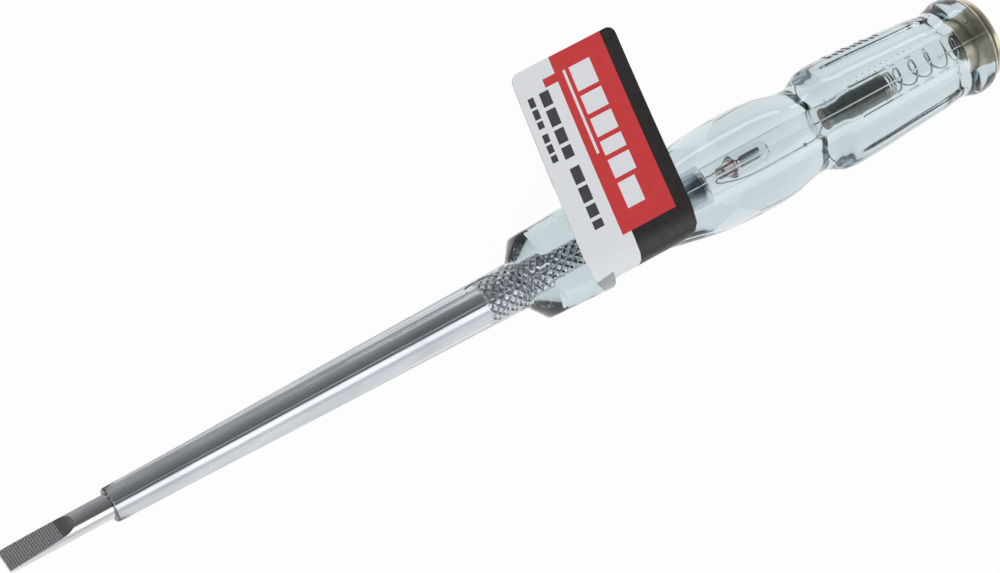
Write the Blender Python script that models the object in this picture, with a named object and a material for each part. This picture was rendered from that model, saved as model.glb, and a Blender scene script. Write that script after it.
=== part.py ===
# Voltage tester screwdriver: a flat blade on a long rod, moulded into a clear handle that
# holds a neon lamp, a resistor and a contact spring behind a metal screw cap.
# The tool lies along +X. The origin is the middle of the blade's end face, +Z is up through
# the top flat of the collar, and the paper label's flag points along +Y. Lengths are in metres.
import math

import bmesh
import bpy
from mathutils import Matrix, Vector

MM = 0.001

# Running gap kept between pieces that touch on the real tool
CLEARANCE = 0.30 * MM
# Thinner gap beside the folded lamp lead, which is trapped between the glass and the bore
LEAD_CLEARANCE = 0.15 * MM
# How far one solid reaches into another before the two are joined
JOIN_OVERLAP = 0.05 * MM

# Rod and blade
SHAFT_RADIUS = 2.075 * MM
SHAFT_EDGE = 0.30 * MM
TIP_THICKNESS = 0.70 * MM
HEEL_THICKNESS = 2.32 * MM
WEDGE_LENGTH = 9.8 * MM
HEEL_CURVE_LENGTH = 2.3 * MM
BLADE_ROLL = 30.0
BARE_BLADE_LENGTH = 18.7 * MM
KNURL_HEIGHT = 0.225 * MM
KNURL_LENGTH = 23.3 * MM
KNURL_RAMP = 0.4 * MM
KNURL_AHEAD_OF_COLLAR = 9.1 * MM
HEEL_CURVE_STEPS = 4
SHAFT_SIDES = 32

# Handle: long sleeve over the rod
SLEEVE_LENGTH = 73.3 * MM
SLEEVE_LIP = 0.35 * MM
SLEEVE_FRONT_WALL = 0.575 * MM
SLEEVE_REAR_WALL = 1.43 * MM
SLEEVE_SHARES = ((0.20, 0.14), (0.33, 0.31), (0.49, 0.49), (0.645, 0.65), (0.76, 0.75), (0.90, 0.84), (1.0, 1.0))
SLEEVE_STRAIGHT = 2.0 * MM

# Handle: square collar with turned corners
FILLET_LENGTH = 3.8 * MM
COLLAR_LENGTH = 10.1 * MM
COLLAR_FRONT_HALF_FLATS = 7.30 * MM
COLLAR_REAR_HALF_FLATS = 7.80 * MM
COLLAR_CORNER_RADIUS = 9.40 * MM
CHAMFER_LENGTH = 2.6 * MM
FILLET_STEPS = 5

# Handle: neck, belly and waist
NECK_LENGTH = 7.5 * MM
NECK_RADIUS = 5.80 * MM
BELLY_RISE = 24.7 * MM
BELLY_RADIUS = 8.97 * MM
BELLY_FALL = 10.0 * MM
WAIST_RADIUS = 7.53 * MM
BELLY_RISE_SHARES = ((0.08, 0.12), (0.20, 0.33), (0.33, 0.54), (0.485, 0.77), (0.63, 0.905), (0.85, 0.985), (1.0, 1.0))
BELLY_FALL_SHARES = ((0.36, 0.18), (0.54, 0.465), (0.73, 0.765), (1.0, 1.0))

# Handle: fluted grip and end bead
SHOULDER_RISE = 6.5 * MM
SHOULDER_RADIUS = 9.31 * MM
GRIP_LENGTH = 22.5 * MM
VALLEY_RADIUS = 7.78 * MM
BEAD_RISE = 3.8 * MM
BEAD_RADIUS = 8.70 * MM
BEAD_FALL = 3.0 * MM
HANDLE_END_RADIUS = 7.40 * MM
SHOULDER_SHARES = ((0.15, 0.12), (0.43, 0.52), (0.71, 0.95), (1.0, 1.0))
TAPER_SHARES = ((0.165, 0.05), (0.33, 0.23), (0.495, 0.37), (0.66, 0.51), (0.83, 0.66), (1.0, 1.0))
BEAD_RISE_SHARES = ((0.5, 0.5), (1.0, 1.0))
BEAD_FALL_SHARES = ((0.5, 0.16), (0.93, 0.78), (1.0, 1.0))
# Bottom of the flutes, as shares of the waist's radius at the front and of the valley's at the rear
FLUTE_FRONT_SHARE = 1.03
FLUTE_REAR_SHARE = 0.94
FLUTE_CENTRE = 33.0
FLUTE_HALF_ANGLE = 20.0
HANDLE_SIDES = 48

# Neon lamp
LAMP_BEHIND_SHAFT = 3.4 * MM
LAMP_LENGTH = 9.8 * MM
SEAL_LENGTH = 2.2 * MM
SEAL_NECK_SHARES = (0.59, 0.52)
SEAL_SHOULDER_SHARES = (0.84, 0.90)
GLASS_RADIUS = 2.0 * MM
GLASS_WALL = 0.35 * MM
ELECTRODE_RADIUS = 0.42 * MM
ELECTRODE_STEM = 1.7 * MM
ELECTRODE_LENGTH = 3.7 * MM
ELECTRODE_OFFSET = 0.62 * MM
ELECTRODE_ANGLE = 35.0
WIRE_RADIUS = 0.15 * MM
GLASS_SIDES = 24
WIRE_SIDES = 8

# Rod's rear end, which the lamp's front lead touches
SHAFT_SHORT_OF_BELLY = 11.2 * MM

# Wires and solder
FRONT_LEAD_OFFSET = 0.8 * MM
SOLDER_BEHIND_LAMP = 5.1 * MM
SOLDER_RADIUS = 0.38 * MM
REAR_LEAD_SHARES = (
    (0.00, 0.22, 215.0),
    (-0.03, 0.30, 200.0),
    (-0.025, 0.50, 165.0),
    (0.03, 0.66, 135.0),
    (0.10, 0.80, 118.0),
    (0.17, 0.97, 122.0),
    (0.30, 1.00, 131.0),
    (0.45, 1.00, 142.0),
    (0.60, 1.00, 153.0),
    (0.75, 1.00, 161.0),
    (0.90, 0.97, 167.0),
    (1.00, 0.90, 170.0),
)
RESISTOR_LEAD_SHARES = ((0.0, 0.95), (0.15, 0.97), (0.4, 0.80), (0.65, 0.45), (0.85, 0.18), (1.0, 0.12))

# Resistor
RESISTOR_BEHIND_SOLDER = 7.2 * MM
RESISTOR_LENGTH = 11.6 * MM
RESISTOR_CAP_RADIUS = 2.20 * MM
RESISTOR_CAP_LENGTH = 1.2 * MM
RESISTOR_CAP_WALL = 0.30 * MM
RESISTOR_COAT_STEP = 0.05 * MM
BORE_STEP_BEHIND_FACE = 4.3 * MM
BORE_STEP = 0.20 * MM

# Screw cap
PLUG_LENGTH = 3.5 * MM
PLUG_INNER_RADIUS = 2.35 * MM
PLUG_WALL = 0.40 * MM
THREAD_PITCH = 0.70 * MM
THREAD_DEPTH = 0.18 * MM
HEAD_RADIUS = 7.30 * MM
HEAD_THICKNESS = 1.20 * MM
PLUG_FLOOR_SHARE = 0.92
HEAD_EDGE_SHARES = ((0.0, 0.98), (0.33, 1.0), (0.67, 0.985), (0.9, 0.93), (1.0, 0.84))
# Start and end of a thread's crest, as shares of its pitch
CREST_SHARES = (0.40, 0.60)
CAP_SIDES = 32

# Contact spring
SPRING_WIRE_RADIUS = 0.175 * MM
SPRING_CLOSE_PITCH = 0.85 * MM
SPRING_CLOSE_TURNS = 2
SPRING_OPEN_TURNS = 5
POINTS_PER_TURN = 10

# Paper label
PAPER_THICKNESS = 0.25 * MM
LABEL_OVER_COLLAR = 3.5 * MM
LABEL_WIDTH = 21.1 * MM
LABEL_LEFT_LEAN = 3.3 * MM
LABEL_RIGHT_LEAN = 2.3 * MM
LABEL_NEAR_REACH = 4.0 * MM
LABEL_FAR_REACH = 30.0 * MM
LABEL_CORNER = 2.0 * MM
LABEL_CREASE_REACH = 8.5 * MM
BAND_WIDTH = 7.3 * MM
BAND_BEHIND_CHAMFER = 0.4 * MM
BAND_STEPS = 14
CORNER_STEPS = 4

# Places along the tool, each a length after the one before
HEEL_X = WEDGE_LENGTH
FLAT_END = HEEL_X + HEEL_CURVE_LENGTH
SLEEVE_START = BARE_BLADE_LENGTH
SLEEVE_REAR_X = SLEEVE_START + SLEEVE_LENGTH
FILLET_START = SLEEVE_REAR_X + SLEEVE_STRAIGHT
COLLAR_FRONT = FILLET_START + FILLET_LENGTH
COLLAR_REAR = COLLAR_FRONT + COLLAR_LENGTH
NECK_START = COLLAR_REAR + CHAMFER_LENGTH
NECK_END = NECK_START + NECK_LENGTH
BELLY_X = NECK_END + BELLY_RISE
WAIST_X = BELLY_X + BELLY_FALL
SHOULDER_X = WAIST_X + SHOULDER_RISE
VALLEY_X = SHOULDER_X + GRIP_LENGTH
BEAD_X = VALLEY_X + BEAD_RISE
HANDLE_END = BEAD_X + BEAD_FALL
KNURL_START = COLLAR_FRONT - KNURL_AHEAD_OF_COLLAR
KNURL_END = KNURL_START + KNURL_LENGTH
SHAFT_END = BELLY_X - SHAFT_SHORT_OF_BELLY
LAMP_FRONT = SHAFT_END + LAMP_BEHIND_SHAFT
GLASS_FRONT = LAMP_FRONT + SEAL_LENGTH + CLEARANCE
GLASS_END = LAMP_FRONT + LAMP_LENGTH
SOLDER_X = GLASS_END + SOLDER_BEHIND_LAMP
RESISTOR_FRONT = SOLDER_X + RESISTOR_BEHIND_SOLDER
RESISTOR_END = RESISTOR_FRONT + RESISTOR_LENGTH
BORE_STEP_X = RESISTOR_FRONT + BORE_STEP_BEHIND_FACE
PLUG_FRONT = HANDLE_END - PLUG_LENGTH
HEAD_FRONT = HANDLE_END + CLEARANCE
PLUG_FLOOR = PLUG_FRONT + (HEAD_FRONT - PLUG_FRONT) * PLUG_FLOOR_SHARE
SPRING_FRONT = RESISTOR_END + CLEARANCE + SPRING_WIRE_RADIUS
SPRING_REAR = PLUG_FLOOR - CLEARANCE - SPRING_WIRE_RADIUS
LABEL_NEAR_LEFT = COLLAR_REAR - LABEL_OVER_COLLAR
LABEL_NEAR_RIGHT = LABEL_NEAR_LEFT + LABEL_WIDTH
BAND_FRONT = NECK_START + BAND_BEHIND_CHAMFER
BAND_REAR = BAND_FRONT + BAND_WIDTH

# Radii that follow from what they fit round
KNURL_RADIUS = SHAFT_RADIUS + KNURL_HEIGHT
SHAFT_BORE_RADIUS = SHAFT_RADIUS + CLEARANCE
KNURL_BORE_RADIUS = KNURL_RADIUS + CLEARANCE
SLEEVE_FRONT_RADIUS = SHAFT_BORE_RADIUS + SLEEVE_FRONT_WALL
SLEEVE_REAR_RADIUS = KNURL_BORE_RADIUS + SLEEVE_REAR_WALL
LEAD_TRACK_RADIUS = GLASS_RADIUS + LEAD_CLEARANCE + WIRE_RADIUS
LAMP_BORE_RADIUS = max(LEAD_TRACK_RADIUS + WIRE_RADIUS + LEAD_CLEARANCE, RESISTOR_CAP_RADIUS + CLEARANCE)
SPRING_BORE_RADIUS = LAMP_BORE_RADIUS + BORE_STEP
SOLDER_OFFSET = LAMP_BORE_RADIUS - LEAD_CLEARANCE - SOLDER_RADIUS
RESISTOR_COAT_RADIUS = RESISTOR_CAP_RADIUS - RESISTOR_COAT_STEP
RESISTOR_CORE_RADIUS = RESISTOR_CAP_RADIUS - RESISTOR_CAP_WALL - CLEARANCE
PLUG_CREST_RADIUS = PLUG_INNER_RADIUS + PLUG_WALL
MOUTH_RADIUS = PLUG_CREST_RADIUS + CLEARANCE
MOUTH_START = PLUG_FRONT - CLEARANCE
SPRING_MEAN_RADIUS = PLUG_INNER_RADIUS - CLEARANCE - SPRING_WIRE_RADIUS
FLUTE_FRONT_FLOOR = WAIST_RADIUS * FLUTE_FRONT_SHARE
FLUTE_REAR_FLOOR = VALLEY_RADIUS * FLUTE_REAR_SHARE
LABEL_UNDERSIDE = COLLAR_REAR_HALF_FLATS + CLEARANCE


def clear_scene():
    for old in list(bpy.data.objects):
        bpy.data.objects.remove(old, do_unlink=True)


def finish_material(name, colour, roughness, metallic):
    material = bpy.data.materials.new(name)
    material.use_nodes = True
    shader = material.node_tree.nodes["Principled BSDF"]
    shader.inputs["Base Color"].default_value = (*colour, 1.0)
    shader.inputs["Roughness"].default_value = roughness
    shader.inputs["Metallic"].default_value = metallic
    return material


def add_object(name, shape, material, origin=Vector((0.0, 0.0, 0.0))):
    # Stores a finished bmesh as an object whose own origin sits at the given point.
    bmesh.ops.remove_doubles(shape, verts=shape.verts, dist=CLEARANCE / 1000.0)
    bmesh.ops.recalc_face_normals(shape, faces=shape.faces)
    mesh = bpy.data.meshes.new(name)
    shape.to_mesh(mesh)
    shape.free()
    mesh.transform(Matrix.Translation(-origin))
    mesh.materials.append(material)
    mesh.shade_smooth()
    mesh.set_sharp_from_angle(angle=math.radians(35.0))
    thing = bpy.data.objects.new(name, mesh)
    thing.location = origin
    bpy.context.collection.objects.link(thing)
    return thing


def on_circle(x, radius, angle):
    # Point at a distance from the tool's axis; angle 0 is +Y and 90 degrees is +Z.
    return Vector((x, radius * math.cos(angle), radius * math.sin(angle)))


def loft(rings, joined):
    # Skins a row of rings with as many points each. Joined means the last ring meets the first.
    shape = bmesh.new()
    loops = [[shape.verts.new(point) for point in ring] for ring in rings]
    pairs = list(zip(loops, loops[1:]))
    if joined:
        pairs.append((loops[-1], loops[0]))
    for near, far in pairs:
        for i, corner in enumerate(near):
            after = (i + 1) % len(near)
            shape.faces.new((corner, near[after], far[after], far[i]))
    if not joined:
        shape.faces.new(loops[0])
        shape.faces.new(list(reversed(loops[-1])))
    return shape


def turned(profile, sides, joined=False, centre=(0.0, 0.0)):
    # Turns a row of (x, radius) points round a line parallel to the tool's axis.
    shift = Vector((0.0, *centre))
    turns = [math.tau * i / sides for i in range(sides)]
    rings = [[on_circle(x, radius, turn) + shift for turn in turns] for x, radius in profile]
    return loft(rings, joined)


def between(start, end, share):
    return start + (end - start) * share


def spaced(x_start, x_end, r_start, r_end, shares):
    # Outline points between two named stations, from shares of the length and of the rise.
    return [(between(x_start, x_end, along), between(r_start, r_end, up)) for along, up in shares]


def blade_half_thickness(x):
    # The blade is a flat wedge to its heel, then curves up to the full rod.
    if x <= HEEL_X:
        return between(TIP_THICKNESS, HEEL_THICKNESS, x / HEEL_X) / 2.0
    if x >= FLAT_END:
        return SHAFT_RADIUS
    share = (x - HEEL_X) / (FLAT_END - HEEL_X)
    return between(HEEL_THICKNESS / 2.0, SHAFT_RADIUS, share * share)


def blade_ring(x, radius):
    # A round section cut by the two ground flats, rolled about the axis.
    half = blade_half_thickness(x)
    roll = Matrix.Rotation(math.radians(BLADE_ROLL), 3, "X")
    ring = []
    for i in range(SHAFT_SIDES):
        point = on_circle(x, radius, math.tau * i / SHAFT_SIDES)
        point.z = max(-half, min(half, point.z))
        ring.append(roll.inverted() @ point)
    return ring


def make_blade_shaft(material):
    heel_steps = [between(HEEL_X, FLAT_END, i / HEEL_CURVE_STEPS) for i in range(HEEL_CURVE_STEPS + 1)]
    stations = [(0.0, SHAFT_RADIUS)]
    stations += [(x, SHAFT_RADIUS) for x in heel_steps]
    stations += [
        (KNURL_START, SHAFT_RADIUS),
        (KNURL_START + KNURL_RAMP, KNURL_RADIUS),
        (KNURL_END - KNURL_RAMP, KNURL_RADIUS),
        (KNURL_END, SHAFT_RADIUS),
        (SHAFT_END - SHAFT_EDGE, SHAFT_RADIUS),
        (SHAFT_END, SHAFT_RADIUS - SHAFT_EDGE),
    ]
    rings = []
    for x, radius in stations:
        if x <= FLAT_END:
            rings.append(blade_ring(x, radius))
        else:
            roll = math.radians(BLADE_ROLL)
            turns = [math.tau * i / SHAFT_SIDES - roll for i in range(SHAFT_SIDES)]
            rings.append([on_circle(x, radius, turn) for turn in turns])
    return add_object("blade_shaft", loft(rings, joined=False), material)


def collar_radius(half_flats, turn):
    # Distance from the axis to a square section whose corners are turned round.
    reach = max(abs(math.cos(turn)), abs(math.sin(turn)))
    return min(half_flats / reach, COLLAR_CORNER_RADIUS)


def flute_bump(turn):
    # 1 along the middle of a flute, 0 on the lands, with four flutes placed in mirror pairs.
    off_land = abs(math.degrees(math.asin(abs(math.sin(turn)))))
    away = abs(90.0 - off_land - FLUTE_CENTRE)
    if away >= FLUTE_HALF_ANGLE:
        return 0.0
    return 0.5 * (1.0 + math.cos(math.pi * away / FLUTE_HALF_ANGLE))


def flute_floor(x, outline_radius):
    # Radius at the bottom of a flute: it runs out at the waist and in the bead's front face.
    if x >= BEAD_X or x <= WAIST_X:
        return outline_radius
    if x <= VALLEY_X:
        share = (x - WAIST_X) / (VALLEY_X - WAIST_X)
        return min(outline_radius, between(FLUTE_FRONT_FLOOR, FLUTE_REAR_FLOOR, share))
    share = (x - VALLEY_X) / (BEAD_X - VALLEY_X)
    return min(outline_radius, between(FLUTE_REAR_FLOOR, BEAD_RADIUS, share * share))


def round_ring(x, radius):
    return [on_circle(x, radius, math.tau * i / HANDLE_SIDES) for i in range(HANDLE_SIDES)]


def collar_ring(x, half_flats, inner_radius, share):
    # Blends from a round section to the square one: share 0 is round, 1 is the full collar.
    ring = []
    for i in range(HANDLE_SIDES):
        turn = math.tau * i / HANDLE_SIDES
        radius = between(inner_radius, collar_radius(half_flats, turn), share)
        ring.append(on_circle(x, radius, turn))
    return ring


def grip_ring(x, radius):
    ring = []
    for i in range(HANDLE_SIDES):
        turn = math.tau * i / HANDLE_SIDES
        depth = radius - flute_floor(x, radius)
        ring.append(on_circle(x, radius - depth * flute_bump(turn), turn))
    return ring


def handle_outside():
    rings = [
        round_ring(SLEEVE_START, SLEEVE_FRONT_RADIUS - SLEEVE_LIP),
        round_ring(SLEEVE_START + SLEEVE_LIP, SLEEVE_FRONT_RADIUS),
    ]
    sleeve = spaced(SLEEVE_START, SLEEVE_REAR_X, SLEEVE_FRONT_RADIUS, SLEEVE_REAR_RADIUS, SLEEVE_SHARES)
    rings += [round_ring(x, radius) for x, radius in sleeve]
    for step in range(FILLET_STEPS):
        across = step / FILLET_STEPS
        share = 1.0 - math.sqrt(1.0 - across * across)
        x = between(FILLET_START, COLLAR_FRONT, across)
        rings.append(collar_ring(x, COLLAR_FRONT_HALF_FLATS, SLEEVE_REAR_RADIUS, share))
    rings += [
        collar_ring(COLLAR_FRONT, COLLAR_FRONT_HALF_FLATS, SLEEVE_REAR_RADIUS, 1.0),
        collar_ring(COLLAR_REAR, COLLAR_REAR_HALF_FLATS, NECK_RADIUS, 1.0),
        round_ring(NECK_START, NECK_RADIUS),
        round_ring(NECK_END, NECK_RADIUS),
    ]
    body = spaced(NECK_END, BELLY_X, NECK_RADIUS, BELLY_RADIUS, BELLY_RISE_SHARES)
    body += spaced(BELLY_X, WAIST_X, BELLY_RADIUS, WAIST_RADIUS, BELLY_FALL_SHARES)
    body += spaced(WAIST_X, SHOULDER_X, WAIST_RADIUS, SHOULDER_RADIUS, SHOULDER_SHARES)
    body += spaced(SHOULDER_X, VALLEY_X, SHOULDER_RADIUS, VALLEY_RADIUS, TAPER_SHARES)
    body += spaced(VALLEY_X, BEAD_X, VALLEY_RADIUS, BEAD_RADIUS, BEAD_RISE_SHARES)
    body += spaced(BEAD_X, HANDLE_END, BEAD_RADIUS, HANDLE_END_RADIUS, BEAD_FALL_SHARES)
    rings += [grip_ring(x, radius) for x, radius in body]
    return rings


def handle_bore():
    # From the open rear mouth forward to the nose of the sleeve.
    steps = [
        (HANDLE_END, MOUTH_RADIUS),
        (MOUTH_START, MOUTH_RADIUS),
        (MOUTH_START - CLEARANCE, SPRING_BORE_RADIUS),
        (BORE_STEP_X + CLEARANCE, SPRING_BORE_RADIUS),
        (BORE_STEP_X, LAMP_BORE_RADIUS),
        (SHAFT_END + CLEARANCE, LAMP_BORE_RADIUS),
        (SHAFT_END, KNURL_BORE_RADIUS),
        (KNURL_START - CLEARANCE, KNURL_BORE_RADIUS),
        (KNURL_START - CLEARANCE - KNURL_RAMP, SHAFT_BORE_RADIUS),
        (SLEEVE_START, SHAFT_BORE_RADIUS),
    ]
    return [round_ring(x, radius) for x, radius in steps]


def make_handle(material):
    shape = loft(handle_outside() + handle_bore(), joined=True)
    return add_object("handle", shape, material)


def make_lamp_seal(material):
    neck_along, neck_out = SEAL_NECK_SHARES
    shoulder_along, shoulder_out = SEAL_SHOULDER_SHARES
    profile = [
        (LAMP_FRONT, GLASS_RADIUS * neck_out - WIRE_RADIUS),
        (LAMP_FRONT + WIRE_RADIUS, GLASS_RADIUS * neck_out),
        (LAMP_FRONT + SEAL_LENGTH * neck_along, GLASS_RADIUS * neck_out),
        (LAMP_FRONT + SEAL_LENGTH * shoulder_along, GLASS_RADIUS * shoulder_out),
        (LAMP_FRONT + SEAL_LENGTH, GLASS_RADIUS),
    ]
    return add_object("lamp_seal", turned(profile, GLASS_SIDES), material)


def dome(x_end, radius, steps):
    # Quarter round that closes a tube towards +X, from its wall to just off the axis.
    angles = [math.pi / 2.0 * i / steps for i in range(steps)]
    return [(x_end - radius + radius * math.sin(a), radius * math.cos(a)) for a in angles]


def make_lamp_glass(material):
    # A cup, open towards the seal, with a round end.
    inner_radius = GLASS_RADIUS - GLASS_WALL
    outside = [(GLASS_FRONT, GLASS_RADIUS)] + dome(GLASS_END, GLASS_RADIUS, 5)
    inside = [(GLASS_FRONT, inner_radius)] + dome(GLASS_END - GLASS_WALL, inner_radius, 5)
    shape = turned(list(reversed(inside)) + outside, GLASS_SIDES)
    return add_object("lamp_glass", shape, material)


def make_electrode(name, side, material):
    angle = math.radians(ELECTRODE_ANGLE)
    centre = (side * ELECTRODE_OFFSET * math.cos(angle), side * ELECTRODE_OFFSET * math.sin(angle))
    rod_start = GLASS_FRONT + ELECTRODE_STEM
    profile = [
        (GLASS_FRONT, WIRE_RADIUS),
        (rod_start, WIRE_RADIUS),
        (rod_start, ELECTRODE_RADIUS),
        (rod_start + ELECTRODE_LENGTH - WIRE_RADIUS, ELECTRODE_RADIUS),
        (rod_start + ELECTRODE_LENGTH, ELECTRODE_RADIUS - WIRE_RADIUS),
    ]
    return add_object(name, turned(profile, WIRE_SIDES, centre=centre), material)


def smooth_route(route, per_span):
    # Reads points from a smooth curve through the route's own points.
    points = [route[0]] + list(route) + [route[-1]]
    smooth = []
    for a, b, c, d in zip(points, points[1:], points[2:], points[3:]):
        for step in range(per_span):
            t = step / per_span
            curve = b * 2.0 + (c - a) * t
            curve += (a * 2.0 - b * 5.0 + c * 4.0 - d) * t ** 2
            curve += (b * 3.0 - a - c * 3.0 + d) * t ** 3
            smooth.append(curve * 0.5)
    smooth.append(route[-1])
    return smooth


def add_wire(name, points, radius, material):
    # A round wire along a row of points, with its ends filled.
    curve = bpy.data.curves.new(name, "CURVE")
    curve.dimensions = "3D"
    curve.bevel_depth = radius
    curve.bevel_resolution = 1
    curve.use_fill_caps = True
    spline = curve.splines.new("POLY")
    spline.points.add(len(points) - 1)
    for place, point in zip(spline.points, points):
        place.co = (*point, 1.0)
    spline.use_smooth = True
    curve.materials.append(material)
    thing = bpy.data.objects.new(name, curve)
    bpy.context.collection.objects.link(thing)
    return thing


def make_front_lead(material):
    start = on_circle(SHAFT_END + CLEARANCE, FRONT_LEAD_OFFSET, 0.0)
    angle = math.radians(ELECTRODE_ANGLE)
    end = on_circle(LAMP_FRONT - CLEARANCE, ELECTRODE_OFFSET, angle)
    route = [start, start.lerp(end, 0.3), start.lerp(end, 0.7), end]
    return add_wire("lamp_lead_front", smooth_route(route, 2), WIRE_RADIUS, material)


def make_rear_lead(material):
    # Leaves the pinch beside the front lead, folds back and lies along the glass.
    start_x = LAMP_FRONT - CLEARANCE
    end_x = SOLDER_X - SOLDER_RADIUS - CLEARANCE
    route = []
    for along, out, angle in REAR_LEAD_SHARES:
        x = between(start_x, end_x, along)
        route.append(on_circle(x, LEAD_TRACK_RADIUS * out, math.radians(angle)))
    return add_wire("lamp_lead_rear", smooth_route(route, 3), WIRE_RADIUS, material)


def lead_angle():
    return math.radians(REAR_LEAD_SHARES[-1][2])


def make_solder_bead(material):
    steps = 6
    turn = lead_angle()
    centre = (SOLDER_OFFSET * math.cos(turn), SOLDER_OFFSET * math.sin(turn))
    profile = []
    for i in range(1, steps):
        angle = math.pi * i / steps
        profile.append((SOLDER_X - SOLDER_RADIUS * math.cos(angle), SOLDER_RADIUS * math.sin(angle)))
    return add_object("solder_bead", turned(profile, WIRE_SIDES, centre=centre), material)


def make_resistor_lead(material):
    start_x = SOLDER_X + SOLDER_RADIUS + CLEARANCE
    end_x = RESISTOR_FRONT - CLEARANCE
    turn = lead_angle()
    route = [
        on_circle(between(start_x, end_x, along), SOLDER_OFFSET * out, turn)
        for along, out in RESISTOR_LEAD_SHARES
    ]
    return add_wire("resistor_lead", smooth_route(route, 3), WIRE_RADIUS, material)


def make_resistor_core(material):
    front = RESISTOR_FRONT + RESISTOR_CAP_WALL + CLEARANCE
    rear = RESISTOR_END - RESISTOR_CAP_WALL - CLEARANCE
    profile = [(front, RESISTOR_CORE_RADIUS), (rear, RESISTOR_CORE_RADIUS)]
    return add_object("resistor_core", turned(profile, GLASS_SIDES), material)


def make_resistor_coat(material):
    front = RESISTOR_FRONT + RESISTOR_CAP_LENGTH + CLEARANCE
    rear = RESISTOR_END - RESISTOR_CAP_LENGTH - CLEARANCE
    inner = RESISTOR_CORE_RADIUS + CLEARANCE
    profile = [(front, RESISTOR_COAT_RADIUS), (rear, RESISTOR_COAT_RADIUS), (rear, inner), (front, inner)]
    return add_object("resistor_coat", turned(profile, GLASS_SIDES, joined=True), material)


def make_resistor_cap(name, face, inward, material):
    # A cup pressed over one end of the resistor. Inward is +1 or -1 along X.
    inner = RESISTOR_CAP_RADIUS - RESISTOR_CAP_WALL
    floor = face + inward * RESISTOR_CAP_WALL
    rim = face + inward * RESISTOR_CAP_LENGTH
    profile = [(face, RESISTOR_CAP_RADIUS), (rim, RESISTOR_CAP_RADIUS), (rim, inner), (floor, inner)]
    return add_object(name, turned(profile, GLASS_SIDES), material)


def spring_points():
    # Close turns at both ends and open turns between them, as one helix.
    close_length = SPRING_CLOSE_PITCH * SPRING_CLOSE_TURNS
    open_length = SPRING_REAR - SPRING_FRONT - 2.0 * close_length
    open_pitch = open_length / SPRING_OPEN_TURNS
    turns = 2 * SPRING_CLOSE_TURNS + SPRING_OPEN_TURNS
    points = []
    for i in range(turns * POINTS_PER_TURN + 1):
        turn = i / POINTS_PER_TURN
        front = min(turn, SPRING_CLOSE_TURNS)
        middle = min(max(turn - SPRING_CLOSE_TURNS, 0.0), SPRING_OPEN_TURNS)
        rear = max(turn - SPRING_CLOSE_TURNS - SPRING_OPEN_TURNS, 0.0)
        x = SPRING_FRONT + SPRING_CLOSE_PITCH * (front + rear) + open_pitch * middle
        points.append(on_circle(x, SPRING_MEAN_RADIUS, math.tau * turn))
    return points


def least_gap(points, wire_radius):
    # Least distance between the surfaces of two turns, measured on the wire's points.
    apart = POINTS_PER_TURN // 2
    nearest = min(
        (a - b).length
        for i, a in enumerate(points)
        for b in points[i + apart:]
    )
    return nearest - 2.0 * wire_radius


def make_contact_spring(material):
    points = spring_points()
    print(f"contact spring: least gap between turns {least_gap(points, SPRING_WIRE_RADIUS) / MM:.3f} mm")
    return add_wire("contact_spring", points, SPRING_WIRE_RADIUS, material)


def thread_profile():
    # Crests and roots of the plug's fine thread, from its open nose to its run-out.
    root = PLUG_CREST_RADIUS - THREAD_DEPTH
    crest_start, crest_end = CREST_SHARES
    count = int((HANDLE_END - PLUG_FRONT) / THREAD_PITCH)
    profile = [(PLUG_FRONT, root)]
    for i in range(count):
        start = PLUG_FRONT + THREAD_PITCH * i
        profile.append((start + THREAD_PITCH * crest_start, PLUG_CREST_RADIUS))
        profile.append((start + THREAD_PITCH * crest_end, PLUG_CREST_RADIUS))
        profile.append((start + THREAD_PITCH, root))
    profile.append((HEAD_FRONT, root))
    return profile


def make_end_cap(material):
    head = [(HEAD_FRONT + HEAD_THICKNESS * along, HEAD_RADIUS * out) for along, out in HEAD_EDGE_SHARES]
    hollow = [(PLUG_FLOOR, PLUG_INNER_RADIUS), (PLUG_FRONT, PLUG_INNER_RADIUS)]
    profile = hollow + thread_profile() + head
    origin = Vector((HEAD_FRONT, 0.0, 0.0))
    return add_object("end_cap", turned(profile, CAP_SIDES), material, origin)


def label_corner(x, y, start_angle):
    # Points of one rounded corner of the flag, whose circle is centred at (x, y).
    points = []
    for i in range(CORNER_STEPS + 1):
        angle = math.radians(start_angle + 90.0 * i / CORNER_STEPS)
        points.append((x + LABEL_CORNER * math.cos(angle), y + LABEL_CORNER * math.sin(angle)))
    return points


def label_edge_x(middle_x, lean, y):
    # The label's sides lean, so each side's place depends on how far out it is.
    return middle_x + lean * y / LABEL_FAR_REACH


def label_outline(near_y):
    corner_y = LABEL_FAR_REACH - LABEL_CORNER
    right = LABEL_NEAR_RIGHT + LABEL_RIGHT_LEAN - LABEL_CORNER
    left = LABEL_NEAR_LEFT + LABEL_LEFT_LEAN + LABEL_CORNER
    outline = [
        (label_edge_x(LABEL_NEAR_LEFT, LABEL_LEFT_LEAN, near_y), near_y),
        (label_edge_x(LABEL_NEAR_RIGHT, LABEL_RIGHT_LEAN, near_y), near_y),
    ]
    return outline + label_corner(right, corner_y, 0.0) + label_corner(left, corner_y, 90.0)


def plate(outline, low, high):
    # A flat sheet with the given outline, seen from above.
    shape = bmesh.new()
    bottom = shape.faces.new([shape.verts.new((x, y, low)) for x, y in outline])
    grown = bmesh.ops.extrude_face_region(shape, geom=[bottom])
    top = [v for v in grown["geom"] if isinstance(v, bmesh.types.BMVert)]
    bmesh.ops.translate(shape, verts=top, vec=(0.0, 0.0, high - low))
    return shape


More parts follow.
